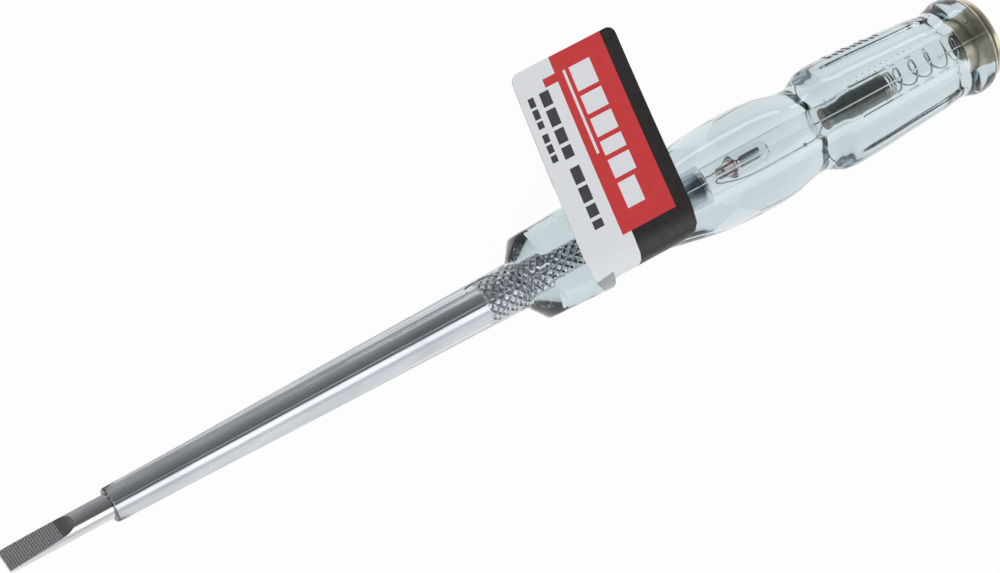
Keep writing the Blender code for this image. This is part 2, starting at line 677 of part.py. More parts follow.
def band_path():
    # Middle line of the paper strip: down past -Y, round under the neck and up to the flag.
    radius = NECK_RADIUS + CLEARANCE + PAPER_THICKNESS / 2.0
    top = LABEL_UNDERSIDE + PAPER_THICKNESS / 2.0
    near = Vector((0.0, PAPER_THICKNESS - LABEL_NEAR_REACH, top))
    far = Vector((0.0, LABEL_CREASE_REACH + PAPER_THICKNESS, LABEL_UNDERSIDE - PAPER_THICKNESS / 2.0))
    start = math.atan2(near.z, near.y) + math.acos(radius / near.length)
    end = math.atan2(far.z, far.y) - math.acos(radius / far.length) + math.tau
    path = [near]
    for i in range(BAND_STEPS + 1):
        path.append(on_circle(0.0, radius, between(start, end, i / BAND_STEPS)))
    path.append(far)
    return path


def band_shape():
    path = band_path()
    shape = bmesh.new()
    outer = []
    inner = []
    for i, point in enumerate(path):
        ahead = path[min(i + 1, len(path) - 1)] - path[max(i - 1, 0)]
        side = Vector((0.0, -ahead.z, ahead.y)).normalized() * (PAPER_THICKNESS / 2.0)
        outer.append(point - side)
        inner.append(point + side)
    section = outer + list(reversed(inner))
    front = Vector((BAND_FRONT, 0.0, 0.0))
    face = shape.faces.new([shape.verts.new(point + front) for point in section])
    grown = bmesh.ops.extrude_face_region(shape, geom=[face])
    rear = [v for v in grown["geom"] if isinstance(v, bmesh.types.BMVert)]
    bmesh.ops.translate(shape, verts=rear, vec=(BAND_REAR - BAND_FRONT, 0.0, 0.0))
    return shape


def make_label(material):
    # Front sheet, the doubled part of the flag behind it and the strip, joined as one paper.
    top = LABEL_UNDERSIDE + PAPER_THICKNESS
    front = add_object("label", plate(label_outline(-LABEL_NEAR_REACH), LABEL_UNDERSIDE, top), material)
    low = LABEL_UNDERSIDE - PAPER_THICKNESS
    doubled = plate(label_outline(LABEL_CREASE_REACH), low, LABEL_UNDERSIDE + JOIN_OVERLAP)
    pieces = [("label_back_guide", doubled), ("label_band_guide", band_shape())]
    for name, shape in pieces:
        guide = add_object(name, shape, material)
        guide.hide_render = True
        guide.display_type = "WIRE"
        union = front.modifiers.new(name, "BOOLEAN")
        union.operation = "UNION"
        union.solver = "EXACT"
        union.object = guide
    return front


def main():
    clear_scene()
    steel = finish_material("plated_steel", (0.62, 0.63, 0.64), 0.25, 1.0)
    plastic = finish_material("clear_plastic", (0.80, 0.84, 0.85), 0.08, 0.0)
    glass = finish_material("lamp_glass", (0.85, 0.87, 0.88), 0.03, 0.0)
    seal = finish_material("pinched_glass", (0.72, 0.55, 0.50), 0.20, 0.0)
    nickel = finish_material("electrode_metal", (0.50, 0.50, 0.48), 0.45, 1.0)
    wire = finish_material("tinned_wire", (0.60, 0.58, 0.54), 0.35, 1.0)
    solder = finish_material("solder", (0.58, 0.58, 0.58), 0.35, 1.0)
    ceramic = finish_material("resistor_ceramic", (0.78, 0.74, 0.66), 0.50, 0.0)
    coating = finish_material("resistor_coating", (0.12, 0.13, 0.12), 0.40, 0.0)
    brass = finish_material("resistor_cap_brass", (0.66, 0.56, 0.36), 0.30, 1.0)
    spring_steel = finish_material("spring_steel", (0.60, 0.58, 0.54), 0.25, 1.0)
    cap_metal = finish_material("plated_brass", (0.72, 0.66, 0.50), 0.22, 1.0)
    paper = finish_material("label_paper", (0.70, 0.12, 0.12), 0.60, 0.0)

    make_blade_shaft(steel)
    make_handle(plastic)
    make_lamp_seal(seal)
    make_lamp_glass(glass)
    make_electrode("lamp_electrode_front", 1.0, nickel)
    make_electrode("lamp_electrode_rear", -1.0, nickel)
    make_front_lead(wire)
    make_rear_lead(wire)
    make_solder_bead(solder)
    make_resistor_lead(wire)
    make_resistor_core(ceramic)
    make_resistor_coat(coating)
    make_resistor_cap("resistor_cap_front", RESISTOR_FRONT, 1.0, brass)
    make_resistor_cap("resistor_cap_rear", RESISTOR_END, -1.0, brass)
    make_contact_spring(spring_steel)
    make_end_cap(cap_metal)
    make_label(paper)


main()
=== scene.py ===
# %% [markdown]
# # A voltage tester screwdriver, dressed for its picture
#
# The solid model of this tool is loaded as a fixed frame. It is true to size but plain, so this
# lesson builds a finer skin for every visible piece and gives each one a finish of its own.
# The tool lies along +X with its blade at the origin, and the paper flag points along +Y.
# Sizes below are in millimetres times MM, because Blender counts in metres.

# %% Load the frame
import math
from functools import lru_cache

import bmesh
import bpy
from mathutils import Matrix, Vector


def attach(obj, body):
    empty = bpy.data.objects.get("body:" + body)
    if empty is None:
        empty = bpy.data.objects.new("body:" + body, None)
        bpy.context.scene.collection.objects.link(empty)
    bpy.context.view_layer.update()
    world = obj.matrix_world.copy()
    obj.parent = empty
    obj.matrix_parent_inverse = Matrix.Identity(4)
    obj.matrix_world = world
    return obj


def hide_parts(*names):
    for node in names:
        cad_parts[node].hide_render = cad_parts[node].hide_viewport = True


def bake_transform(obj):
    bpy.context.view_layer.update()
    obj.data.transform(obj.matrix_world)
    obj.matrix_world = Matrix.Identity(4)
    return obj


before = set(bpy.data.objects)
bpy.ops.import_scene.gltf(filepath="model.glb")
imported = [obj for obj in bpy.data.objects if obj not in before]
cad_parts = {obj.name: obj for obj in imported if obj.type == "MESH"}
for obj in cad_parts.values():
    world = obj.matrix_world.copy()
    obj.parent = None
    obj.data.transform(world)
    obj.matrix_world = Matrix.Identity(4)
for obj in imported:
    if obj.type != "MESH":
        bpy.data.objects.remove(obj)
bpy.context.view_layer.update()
MM = 0.001

# %% [markdown]
# ## Camera
#
# The photograph was taken with a long lens, a little from the blade's side, and the tool runs
# up to the right in it. A long lens far away keeps both ends at nearly the same scale. The
# camera is set by the point it looks at, its tilt and its turn, which is easy to correct.

# %% Set the camera
PHOTO_TILT = math.radians(20.0)
PHOTO_TURN = math.radians(28.36)
PHOTO_DISTANCE = 600.0 * MM
PHOTO_LENS = 133.9
LOOK_AT = Vector((91.44, 0.0, 0.0)) * MM
AIM_RIGHT = 0.242 * MM
AIM_UP = 1.42 * MM

along = Vector((math.cos(PHOTO_TILT), 0.0, math.sin(PHOTO_TILT)))
across = Vector((0.0, 1.0, 0.0))
back = Vector((-math.sin(PHOTO_TILT), 0.0, math.cos(PHOTO_TILT)))
right = along * math.cos(PHOTO_TURN) - across * math.sin(PHOTO_TURN)
up = along * math.sin(PHOTO_TURN) + across * math.cos(PHOTO_TURN)
target = LOOK_AT + right * AIM_RIGHT + up * AIM_UP


def new_object(name, data):
    thing = bpy.data.objects.new(name, data)
    bpy.context.collection.objects.link(thing)
    return thing


camera = new_object("camera", bpy.data.cameras.new("camera"))
camera.data.lens = PHOTO_LENS
camera.data.clip_start = 10.0 * MM
facing = Matrix((right, up, back)).transposed().to_4x4()
camera.matrix_world = Matrix.Translation(target + back * PHOTO_DISTANCE) @ facing
bpy.context.scene.camera = camera
bpy.context.scene.view_settings.view_transform = "Standard"
print("camera:", [round(value / MM) for value in camera.location], "mm")

# %% [markdown]
# ## Shaping helpers
#
# Nearly every piece here was turned, drawn or moulded round one axis. So one helper does most of
# the work: it takes a grid with a row for each station along the tool, lets a small function say
# where each point of a row goes, and welds the grid's long edges into a tube. That keeps clean
# rows of quads, which glass and polished metal need, because every dent shows in them.

# %% Roll a grid into a tube
TUBE_SEAM = 0.0001 * MM


def on_ring(x, radius, turn):
    # Turn 0 points along +Y, a quarter turn along +Z.
    return Vector((x, radius * math.cos(turn), radius * math.sin(turn)))


def pulled(stations, sides, place, ring=False):
    # One row of points for each station, put where place says. Ring joins the last to the first.
    rows = list(stations) + [stations[0]] * ring
    shape = bmesh.new()
    bmesh.ops.create_grid(shape, x_segments=len(rows) - 1, y_segments=sides, size=0.5)
    for vert in shape.verts:
        row = round((vert.co.x + 0.5) * (len(rows) - 1))
        vert.co = place(rows[row], math.tau * (vert.co.y + 0.5))
    bmesh.ops.remove_doubles(shape, verts=shape.verts, dist=TUBE_SEAM)
    bmesh.ops.holes_fill(shape, edges=shape.edges, sides=0)
    return shape


def turned(profile, sides, centre=(0.0, 0.0)):
    # A row of (x, radius) pairs turned round a line along X.
    shift = Vector((0.0, *centre))
    return pulled(profile, sides, lambda point, turn: on_ring(*point, turn) + shift)


print("helpers: on_ring, pulled, turned")

# %% Steps and easing
def steps(start, end, count):
    # Evenly spaced values from start on, without end itself.
    return [start + (end - start) * i / count for i in range(count)]


def ease(low, high, value):
    # 0 at low, 1 at high, and a smooth change between them. Low may be the larger of the two.
    share = min(max((value - low) / (high - low), 0.0), 1.0)
    return share * share * (3.0 - 2.0 * share)


print("helpers: steps, ease")

# %% [markdown]
# Every finished shape becomes an object in the same way: seams are welded, normals point
# outwards, and the piece is told which body it rides on and which plain solids it stands for.

# %% Turn a shape into a piece
SHARP = math.radians(32.0)
SEAM = 0.001 * MM


def mesh_object(name, shape, material):
    mesh = bpy.data.meshes.new(name)
    shape.to_mesh(mesh)
    shape.free()
    mesh.materials.append(material)
    return new_object(name, mesh)


def piece(name, shape, material, body, nodes, sharp=SHARP):
    bmesh.ops.remove_doubles(shape, verts=shape.verts, dist=SEAM)
    bmesh.ops.recalc_face_normals(shape, faces=shape.faces)
    thing = mesh_object(name, shape, material)
    thing.data.shade_smooth()
    thing.data.set_sharp_from_angle(angle=sharp)
    if body:
        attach(thing, body)
    if nodes:
        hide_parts(*nodes)
    print(f"{name}: {len(thing.data.polygons)} faces for {', '.join(nodes) or 'no solid'}")
    return thing


print("helpers: mesh_object, piece")

# %% [markdown]
# ## Material helpers
#
# A shader is a tree of nodes. A few small helpers add the kinds of node that this lesson uses
# most, and take either another node's socket or a plain value for each input.

# %% Node helpers
def add_node(tree, kind, **values):
    made = tree.nodes.new(kind)
    for key, value in values.items():
        setattr(made, key, value)
    return made


def feed(tree, source, target):
    # A tuple is a colour, red, green and blue.
    if isinstance(source, bpy.types.NodeSocket):
        tree.links.new(source, target)
    else:
        target.default_value = (*source, 1.0) if isinstance(source, tuple) else source


def reckon(tree, operation, *sources):
    made = add_node(tree, "ShaderNodeMath", operation=operation)
    for place, source in zip(made.inputs, sources):
        feed(tree, source, place)
    return made.outputs[0]


def map_range(tree, source, start, end, low=0.0, high=1.0):
    made = add_node(tree, "ShaderNodeMapRange")
    pairs = (("Value", source), ("From Min", start), ("From Max", end), ("To Min", low), ("To Max", high))
    for place, value in pairs:
        feed(tree, value, made.inputs[place])
    return made.outputs["Result"]


def mix_colours(tree, factor, first, second, **values):
    made = add_node(tree, "ShaderNodeMix", data_type="RGBA", **values)
    for place, value in (("Factor", factor), ("A", first), ("B", second)):
        feed(tree, value, made.inputs[place])
    return made.outputs["Result"]


print("node helpers: add_node, feed, reckon, map_range, mix_colours")

# %% [markdown]
# A finish is one Principled shader whose roughness and bump come from noise in object
# coordinates, so that the grain keeps its real size on every piece.

# %% Build a finish
NOISE_MIDDLE = (0.3, 0.7)


class Finish:
    def __init__(self, name, colour, metallic=0.0, roughness=0.3):
        self.material = bpy.data.materials.new(name)
        self.material.use_nodes = True
        self.tree = self.material.node_tree
        self.shader = self.tree.nodes["Principled BSDF"]
        self.shader.inputs["Base Color"].default_value = (*colour, 1.0)
        self.shader.inputs["Metallic"].default_value = metallic
        self.shader.inputs["Roughness"].default_value = roughness
        self.colour = colour

    def node(self, kind, **values):
        return add_node(self.tree, kind, **values)

    def link(self, source, target):
        self.tree.links.new(source, target)

    def grain(self, size, stretch=(1.0, 1.0, 1.0), detail=3.0):
        # Noise whose blotches are about size across, stretched along X, Y or Z.
        place = self.node("ShaderNodeTexCoord")
        scale = self.node("ShaderNodeMapping")
        scale.inputs["Scale"].default_value = [1.0 / (size * part) for part in stretch]
        noise = self.node("ShaderNodeTexNoise")
        noise.inputs["Scale"].default_value = 1.0
        noise.inputs["Detail"].default_value = detail
        self.link(place.outputs["Object"], scale.inputs["Vector"])
        self.link(scale.outputs["Vector"], noise.inputs["Vector"])
        return noise.outputs["Fac"]

    def spread(self, source, low, high):
        # Maps the middle of a noise, where most of it lies, onto the range from low to high.
        return map_range(self.tree, source, *NOISE_MIDDLE, low, high)

    def rough(self, source, low, high):
        self.link(self.spread(source, low, high), self.shader.inputs["Roughness"])

    def see_through(self, share, index):
        # Share of the light that goes in, and the index of refraction.
        self.shader.inputs["Transmission Weight"].default_value = share
        self.shader.inputs["IOR"].default_value = index

    def bump(self, source, height, strength=0.3):
        bump = self.node("ShaderNodeBump")
        bump.inputs["Strength"].default_value = strength
        bump.inputs["Distance"].default_value = height
        self.link(source, bump.inputs["Height"])
        self.link(bump.outputs["Normal"], self.shader.inputs["Normal"])

    def mottle(self, source, other):
        # Lets the colour wander between the finish's own colour and another one.
        mixed = mix_colours(self.tree, self.spread(source, 0.0, 1.0), self.colour, other)
        self.link(mixed, self.shader.inputs["Base Color"])


print("materials: Finish")

# %% [markdown]
# ## Plated rod and blade
#
# The rod is drawn steel, plated bright. Fine lines run along it from drawing and polishing, so
# its grain is stretched along X. The ground faces of the blade are bare, darker steel, with a
# grain that runs across, so those faces get a finish of their own on the same piece.

# %% Rod finishes
plated = Finish("plated_steel", (0.80, 0.80, 0.82), metallic=1.0)
drawn = plated.grain(0.12 * MM, stretch=(60.0, 1.0, 1.0))
plated.rough(drawn, 0.10, 0.26)
plated.bump(drawn, 0.004 * MM, 0.25)
plated.mottle(plated.grain(3.0 * MM, stretch=(3.0, 1.0, 1.0)), (0.66, 0.66, 0.68))
ground = Finish("ground_blade", (0.30, 0.30, 0.31), metallic=1.0)
ground.mottle(ground.grain(0.25 * MM, stretch=(0.3, 6.0, 1.0)), (0.19, 0.19, 0.20))
ground.rough(ground.grain(0.15 * MM), 0.28, 0.45)
ground.bump(ground.grain(0.06 * MM, stretch=(1.0, 12.0, 12.0)), 0.01 * MM, 0.3)
print("finishes:", plated.material.name, "and", ground.material.name)

# %% [markdown]
# The rod is one ring of points pulled from the blade's end to the lamp. Three things change the
# ring on its way: two ground flats pinch it at the blade, shallow grooves cross those flats,
# and a diamond knurl roughens it where the plastic grips. The knurl is two sets of narrow spiral
# ridges, one of each hand, raised by a roller, with a field of small pits between them.

# %% Shape of the blade
ROD_RADIUS = 2.075 * MM
TIP_HALF = 0.35 * MM
HEEL_HALF = 1.16 * MM
HEEL_X = 9.8 * MM
FLAT_END = 12.1 * MM
BLADE_ROLL = math.radians(30.0)
GROOVE_COUNT = 22
GROOVE_DEPTH = 0.11 * MM
GROOVE_FULLNESS = 0.7


def blade_half(x):
    # Half the blade's thickness: a wedge, then a hollow run-out up to the round rod.
    if x <= HEEL_X:
        return TIP_HALF + (HEEL_HALF - TIP_HALF) * x / HEEL_X
    share = (x - HEEL_X) / (FLAT_END - HEEL_X)
    return HEEL_HALF + (ROD_RADIUS - HEEL_HALF) * share ** 2


def groove_cut(x):
    # Depth of the fine grooves that cross the flats.
    pitch = HEEL_X / GROOVE_COUNT
    if x > HEEL_X - pitch / 2.0:
        return 0.0
    return GROOVE_DEPTH * abs(math.sin(math.pi * x / pitch)) ** GROOVE_FULLNESS


print("blade:", round(2.0 * TIP_HALF / MM, 2), "mm thick at its end,", GROOVE_COUNT, "grooves")

# %% Shape of the knurl
KNURL_START = 87.9 * MM
KNURL_END = 112.0 * MM
KNURL_HEIGHT = 0.225 * MM
KNURL_STARTS = 10
KNURL_LEAD = 1.65 * MM
KNURL_FADE = 0.5 * MM
PIT_SPREAD = 1.9
PIT_DEPTH = 1.3


def wave(value):
    # Triangle wave: 0 at whole numbers, 1 half way between them.
    return 1.0 - abs(2.0 * (value % 1.0) - 1.0)


def knurl_rise(x, turn):
    # Height of the knurl over the plain rod. Its pits go a little below the rod's surface.
    if not KNURL_START < x < KNURL_END:
        return 0.0
    around = KNURL_STARTS * turn / math.tau
    length = x / KNURL_LEAD
    ends = ease(0.0, KNURL_FADE, min(x - KNURL_START, KNURL_END - x))
    pit = min(1.0, PIT_SPREAD * min(wave(around + length), wave(around - length)))
    return KNURL_HEIGHT * (1.0 - PIT_DEPTH * pit) * ends


print("knurl:", KNURL_STARTS, "ridges of each hand")

# %% Model the rod
ROD_END = 131.5 * MM
POINTS_PER_RIDGE = 18
ROD_SIDES = KNURL_STARTS * POINTS_PER_RIDGE
GROOVE_ROWS = 6
RUN_OUT_ROWS = 12
KNURL_ROWS = 200
EDGE_ROWS = 4
EDGE_BREAK = 0.25 * MM


def rod_point(x, turn):
    radius = ROD_RADIUS + knurl_rise(x, turn)
    radius -= EDGE_BREAK * ease(ROD_END - EDGE_BREAK, ROD_END, x)
    point = on_ring(x, radius, turn)
    if x < FLAT_END:
        half = blade_half(x)
        if abs(point.z) > half:
            point.z = math.copysign(half - groove_cut(x), point.z)
    return Matrix.Rotation(-BLADE_ROLL, 3, "X") @ point


rod_stations = steps(0.0, HEEL_X, GROOVE_COUNT * GROOVE_ROWS) + steps(HEEL_X, FLAT_END, RUN_OUT_ROWS)
rod_stations += [FLAT_END] + steps(KNURL_START, KNURL_END, KNURL_ROWS) + [KNURL_END]
rod_stations += steps(ROD_END - EDGE_BREAK, ROD_END, EDGE_ROWS) + [ROD_END]
rod = pulled(rod_stations, ROD_SIDES, rod_point)
print("rod:", len(rod_stations), "rows of", ROD_SIDES, "points")

# %% [markdown]
# The ground finish goes on the faces whose corners all lie near the height of the two flats.

# %% Give the flats their ground finish
FLAT_ABOVE = 0.01 * MM
FLAT_BELOW = 0.10 * MM
unroll = Matrix.Rotation(BLADE_ROLL, 3, "X")


def on_flat(corner):
    half = blade_half(corner.x)
    return 0.0 < corner.x <= FLAT_END and half - FLAT_BELOW < abs(corner.z) <= half + FLAT_ABOVE


for face in rod.faces:
    face.material_index = int(all(on_flat(unroll @ vert.co) for vert in face.verts))
rod_fine = piece("rod_fine", rod, plated.material, "handle", ["blade_shaft"])
rod_fine.data.materials.append(ground.material)

# %% [markdown]
# ## Clear handle
#
# The handle is one moulding of clear plastic with a faint blue-grey tone. Light bends twice in it,
# so the rod inside looks half as wide again. In Blender that needs a closed shell with a real
# inner wall, an index of refraction near 1.55 and a trace of colour that deepens with thickness.
# Where plastic was moulded onto the rod there is no air gap, so the inner wall hides just below
# the metal's surface there, and opens to a real air bore round the lamp and the spring.

# %% Plastic finish
clear = Finish("clear_plastic", (0.93, 0.965, 0.975))
clear.see_through(1.0, 1.55)
clear.rough(clear.grain(1.5 * MM), 0.0, 0.05)
clear.bump(clear.grain(2.5 * MM, stretch=(3.0, 1.0, 1.0)), 0.02 * MM, 0.2)
tone = clear.node("ShaderNodeVolumeAbsorption")
tone.inputs["Color"].default_value = (0.45, 0.60, 0.66, 1.0)
tone.inputs["Density"].default_value = 45.0
clear.link(tone.outputs["Volume"], clear.tree.nodes["Material Output"].inputs["Volume"])
print("finish:", clear.material.name)

# %% [markdown]
# The outline is a smooth line through given stations: a slim sleeve, a square collar,
# a neck, a round belly, a waist, a shoulder, a tapering grip and an end bead. The stations can
# be moved one at a time, and the line never swings past them.

# %% Handle's outline
SLEEVE_LINE = [
    (19.0, 2.95), (33.4, 3.10), (42.9, 3.28), (54.6, 3.48), (66.0, 3.65), (74.4, 3.76), (84.7, 3.90),
    (92.0, 4.03),
]
BODY_LINE = [
    (110.5, 5.80), (118.0, 5.80), (120.0, 6.18), (122.9, 6.85), (126.2, 7.51), (130.0, 8.24), (133.6, 8.67),
    (139.0, 8.92), (142.7, 8.97), (146.3, 8.71), (150.0, 7.90), (152.7, 7.53), (153.9, 7.74), (155.5, 8.46),
    (157.3, 9.18), (159.2, 9.31), (162.9, 9.20), (170.3, 8.74), (177.9, 8.25), (181.7, 7.78), (183.6, 8.20),
    (185.5, 8.70), (187.2, 8.45), (188.3, 7.70), (188.5, 7.40),
]


def scaled(points):
    return tuple((x * MM, height * MM) for x, height in points)


@lru_cache(maxsize=None)
def eased_line(points, x):
    # Height of a smooth line through (x, height) pairs, without overshoot.
    if x <= points[0][0]:
        return points[0][1]
    for i in range(len(points) - 1):
        (x0, y0), (x1, y1) = points[i], points[i + 1]
        if x <= x1:
            break
    else:
        return points[-1][1]
    run = x1 - x0
    slope = (y1 - y0) / run
    before = (y0 - points[i - 1][1]) / (x0 - points[i - 1][0]) if i > 0 else slope
    after = (points[i + 2][1] - y1) / (points[i + 2][0] - x1) if i + 2 < len(points) else slope
    start = 2.0 * before * slope / (before + slope) if before * slope > 0.0 else 0.0
    end = 2.0 * after * slope / (after + slope) if after * slope > 0.0 else 0.0
    t = (x - x0) / run
    return (
        y0 * (1.0 + 2.0 * t) * (1.0 - t) ** 2
        + start * run * t * (1.0 - t) ** 2
        + y1 * t * t * (3.0 - 2.0 * t)
        + end * run * t * t * (t - 1.0)
    )


sleeve_line, body_line = scaled(SLEEVE_LINE), scaled(BODY_LINE)
print("handle outline:", len(SLEEVE_LINE) + len(BODY_LINE), "stations")

# %% [markdown]
# The collar is a square with round corners. Its front rises from the sleeve as a cone, and the
# edge where the cone meets the square is rounded over, because a mould leaves no sharp edge there.

# %% Collar
COLLAR_START = 94.7 * MM
CONE_BEND = 1.0 * MM
CONE_RISE = 0.6 / MM
COLLAR_EDGE = 0.5 * MM
COLLAR_REAR = 107.9 * MM
NECK_START = 110.5 * MM
COLLAR_FLATS = ((97.8, 7.30), (107.9, 7.80))
COLLAR_SQUARENESS = 5.0
collar_flats = scaled(COLLAR_FLATS)


def collar_front(x):
    # A hollow curve that runs on as a straight cone.
    past = max(0.0, x - COLLAR_START)
    bent = min(past, CONE_BEND)
    return sleeve_line[-1][1] + CONE_RISE * bent * (2.0 * past - bent)


def soft_min(a, b, reach):
    # The smaller of two heights, with the edge where they meet rounded over.
    share = max(0.0, min(1.0, 0.5 + 0.5 * (b - a) / reach))
    return b + (a - b) * share - reach * share * (1.0 - share)


def collar_radius(x, turn):
    # A high power makes a circle square, with flat sides and smoothly rounded corners.
    reach = abs(math.cos(turn)) ** COLLAR_SQUARENESS + abs(math.sin(turn)) ** COLLAR_SQUARENESS
    full = eased_line(collar_flats, x) / reach ** (1.0 / COLLAR_SQUARENESS)
    if x < COLLAR_REAR:
        return soft_min(full, collar_front(x), COLLAR_EDGE)
    low = body_line[0][1]
    return full + (low - full) * (x - COLLAR_REAR) / (NECK_START - COLLAR_REAR)


print("collar:", 2.0 * COLLAR_FLATS[0][1], "mm across its front flats")

# %% [markdown]
# The grip is cut between two wide lands, one on each side. A shallow panel drops away from a
# land, then comes a round-ended groove, and a narrow land runs along the top and the bottom with
# the mould's parting line on it.

# %% Grip's cuts
PANEL_DROP = 0.26 * MM
LAND_DROP = 0.31 * MM
GROOVE_DROP = 0.36 * MM
# Angles are in degrees, and those of edges are counted from the top or bottom of the grip.
LAND_EDGE = 17.0
GROOVE_EDGE = 30.0
PANEL_EDGE = 54.0
PANEL_RIM = 60.0
GRIP_START = (156.8 * MM, 160.6 * MM)
GRIP_END = (179.6 * MM, 182.4 * MM)
GROOVE_RUN = (159.4 * MM, 181.4 * MM)
GROOVE_ROUND = 0.943 * MM
GROOVE_WALL = 0.3


def groove_bowl(x, away):
    # Depth of the round-ended groove, as a share: 1 on its flat bottom and 0 from its rim on.
    middle = (LAND_EDGE + GROOVE_EDGE) / 2.0
    half = (GROOVE_EDGE - LAND_EDGE) / 2.0
    reach = (away - middle) / half
    past = max(GROOVE_RUN[0] + GROOVE_ROUND - x, x - GROOVE_RUN[1] + GROOVE_ROUND, 0.0) / GROOVE_ROUND
    return ease(0.0, GROOVE_WALL, 1.0 - reach * reach - past * past)


def grip_drop(x, away):
    # How far the grip is cut below its round outline, away degrees from its top or bottom.
    cut = ease(*GRIP_START, x) * (1.0 - ease(*GRIP_END, x))
    panel = PANEL_DROP * (1.0 - ease(PANEL_EDGE, PANEL_RIM, away))
    level = panel + (LAND_DROP - panel) * ease(GROOVE_EDGE, LAND_EDGE, away)
    return cut * (level + (GROOVE_DROP - level) * groove_bowl(x, away))


print("grip: cuts from", round(GRIP_START[0] / MM, 1), "to", round(GRIP_END[1] / MM, 1), "mm")

# %% [markdown]
# One wide land carries raised marks, which are plain bars on this part. The gate mark on the
# sleeve is where the plastic entered the mould.

# %% Raised marks and gate mark
MARK_RISE = 0.14 * MM
MARK_PITCH = 1.25 * MM
MARK_WIDTH = 0.62
MARK_LENGTHS = (1.0, 0.6, 0.8)
# Each row lies between two angles from the top, and between two places along the grip.
MARK_ROWS = ((68.0, 84.0, 161.8 * MM, 172.0 * MM), (96.0, 110.0, 165.0 * MM, 178.0 * MM))
GATE_X = 88.6 * MM
GATE_HALF_LENGTH = 2.9 * MM
GATE_TURN = 38.0
GATE_HALF_ANGLE = 17.0
GATE_RIM = 0.86
GATE_DEPTH = 0.12 * MM


def mark_rise(x, from_top, side):
    # Plain raised bars of three lengths, on the +Y land only.
    if side < 0.0:
        return 0.0
    for low, high, start, end in MARK_ROWS:
        if low < from_top < high and start < x < end:
            count, place = divmod((x - start) / MARK_PITCH, 1.0)
            length = MARK_LENGTHS[int(count) % len(MARK_LENGTHS)]
            inside = place < MARK_WIDTH and (from_top - low) / (high - low) < length
            return MARK_RISE if inside else 0.0
    return 0.0


def gate_dip(x, turn):
    # An oval dent with a steep rim.
    reach_x = (x - GATE_X) / GATE_HALF_LENGTH
    reach_turn = (math.degrees(turn) - GATE_TURN) / GATE_HALF_ANGLE
    return GATE_DEPTH * ease(1.0, GATE_RIM, reach_x ** 2 + reach_turn ** 2)


print("marks:", len(MARK_ROWS), "rows of plain raised bars, and a gate mark at", round(GATE_X / MM, 1), "mm")

# %% [markdown]
# Now the shell itself. Rings are close together only where the shape changes, and the points of
# each ring crowd towards the parting line, which is far finer than anything else on the handle.

# %% Skin of the handle
PARTING_HALF = 0.825
PARTING_RISE = 0.07 * MM
CROWDING = 0.45


def crowd(turn):
    # Moves the points of a ring closer together at its top and bottom.
    return turn + CROWDING * math.sin(2.0 * turn) / 2.0


def skin_radius(x, turn):
    # Radius of the outside, with every cut, ridge and mark on it.
    away = math.degrees(math.acos(abs(math.sin(turn))))
    ridge = PARTING_RISE * max(0.0, 1.0 - away / PARTING_HALF)
    if x <= sleeve_line[-1][0]:
        return eased_line(sleeve_line, x) + ridge - gate_dip(x, turn)
    if x < COLLAR_START:
        return sleeve_line[-1][1] + ridge
    if x < NECK_START:
        return collar_radius(x, turn) + ridge
    marks = mark_rise(x, math.degrees(math.acos(math.sin(turn))), math.cos(turn))
    return eased_line(body_line, x) - grip_drop(x, away) + ridge + marks


def handle_point(station, turn):
    # A station without a radius of its own follows the outline.
    x, radius = station
    turn = crowd(turn)
    return on_ring(x, skin_radius(x, turn) if radius is None else radius, turn)


print("skin: parting line", 2.0 * PARTING_HALF, "degrees wide")

# %% Model the handle
HANDLE_START = 18.7 * MM
HANDLE_END = 188.5 * MM
HANDLE_SIDES = 256
HANDLE_SHARP = math.radians(28.0)
HIDDEN_BORE = 1.95 * MM
LAMP_BORE = 2.62 * MM
SPRING_BORE = 2.80 * MM
BORE_STEP_X = 161.3 * MM
MOUTH_X = 184.7 * MM
MOUTH_RADIUS = 2.97 * MM
MOUTH_TAPER = 0.3 * MM
BORE_TAPER = 0.2 * MM
ROD_LAP = 0.05 * MM
OPENING_RUN = 0.01 * MM
# Distance past the handle's start and radius, for the rounded nose of the sleeve.
NOSE_LINE = [(0.0, 2.55), (0.02, 2.75), (0.12, 2.88)]
# Start, end and number of rings for each stretch of the outside.
SKIN_RUNS = [
    (19.0, 85.4, 22), (85.4, 92.0, 40), (92.0, 94.6, 8), (94.6, 99.2, 40), (99.2, 107.9, 6),
    (107.9, 110.5, 6), (110.5, 118.0, 4), (118.0, 152.7, 56), (152.7, 161.6, 44), (161.6, 179.0, 84),
    (179.0, 188.5, 44),
]

nose = [(HANDLE_START + past * MM, radius * MM) for past, radius in NOSE_LINE]
skin = [(x * MM, None) for run in SKIN_RUNS for x in steps(*run)]
outside = nose + skin + [(HANDLE_END, body_line[-1][1])]
bore = [
    (HANDLE_END, MOUTH_RADIUS), (MOUTH_X, MOUTH_RADIUS), (MOUTH_X - MOUTH_TAPER, SPRING_BORE),
    (BORE_STEP_X + BORE_TAPER, SPRING_BORE), (BORE_STEP_X, LAMP_BORE), (ROD_END - ROD_LAP, LAMP_BORE),
    (ROD_END - ROD_LAP - OPENING_RUN, HIDDEN_BORE), (HANDLE_START, HIDDEN_BORE),
]
handle = pulled(outside + bore, HANDLE_SIDES, handle_point, ring=True)
piece("handle_fine", handle, clear.material, "handle", ["handle"], HANDLE_SHARP)

# %% [markdown]
# ## Neon lamp
#
# The lamp is a small glass tube with a round end. Its other end was melted and pinched round
# two wires, which leaves a lump of pinkish glass that narrows to a point inside the tube. Two
# nickel rods stand on the wires, side by side.

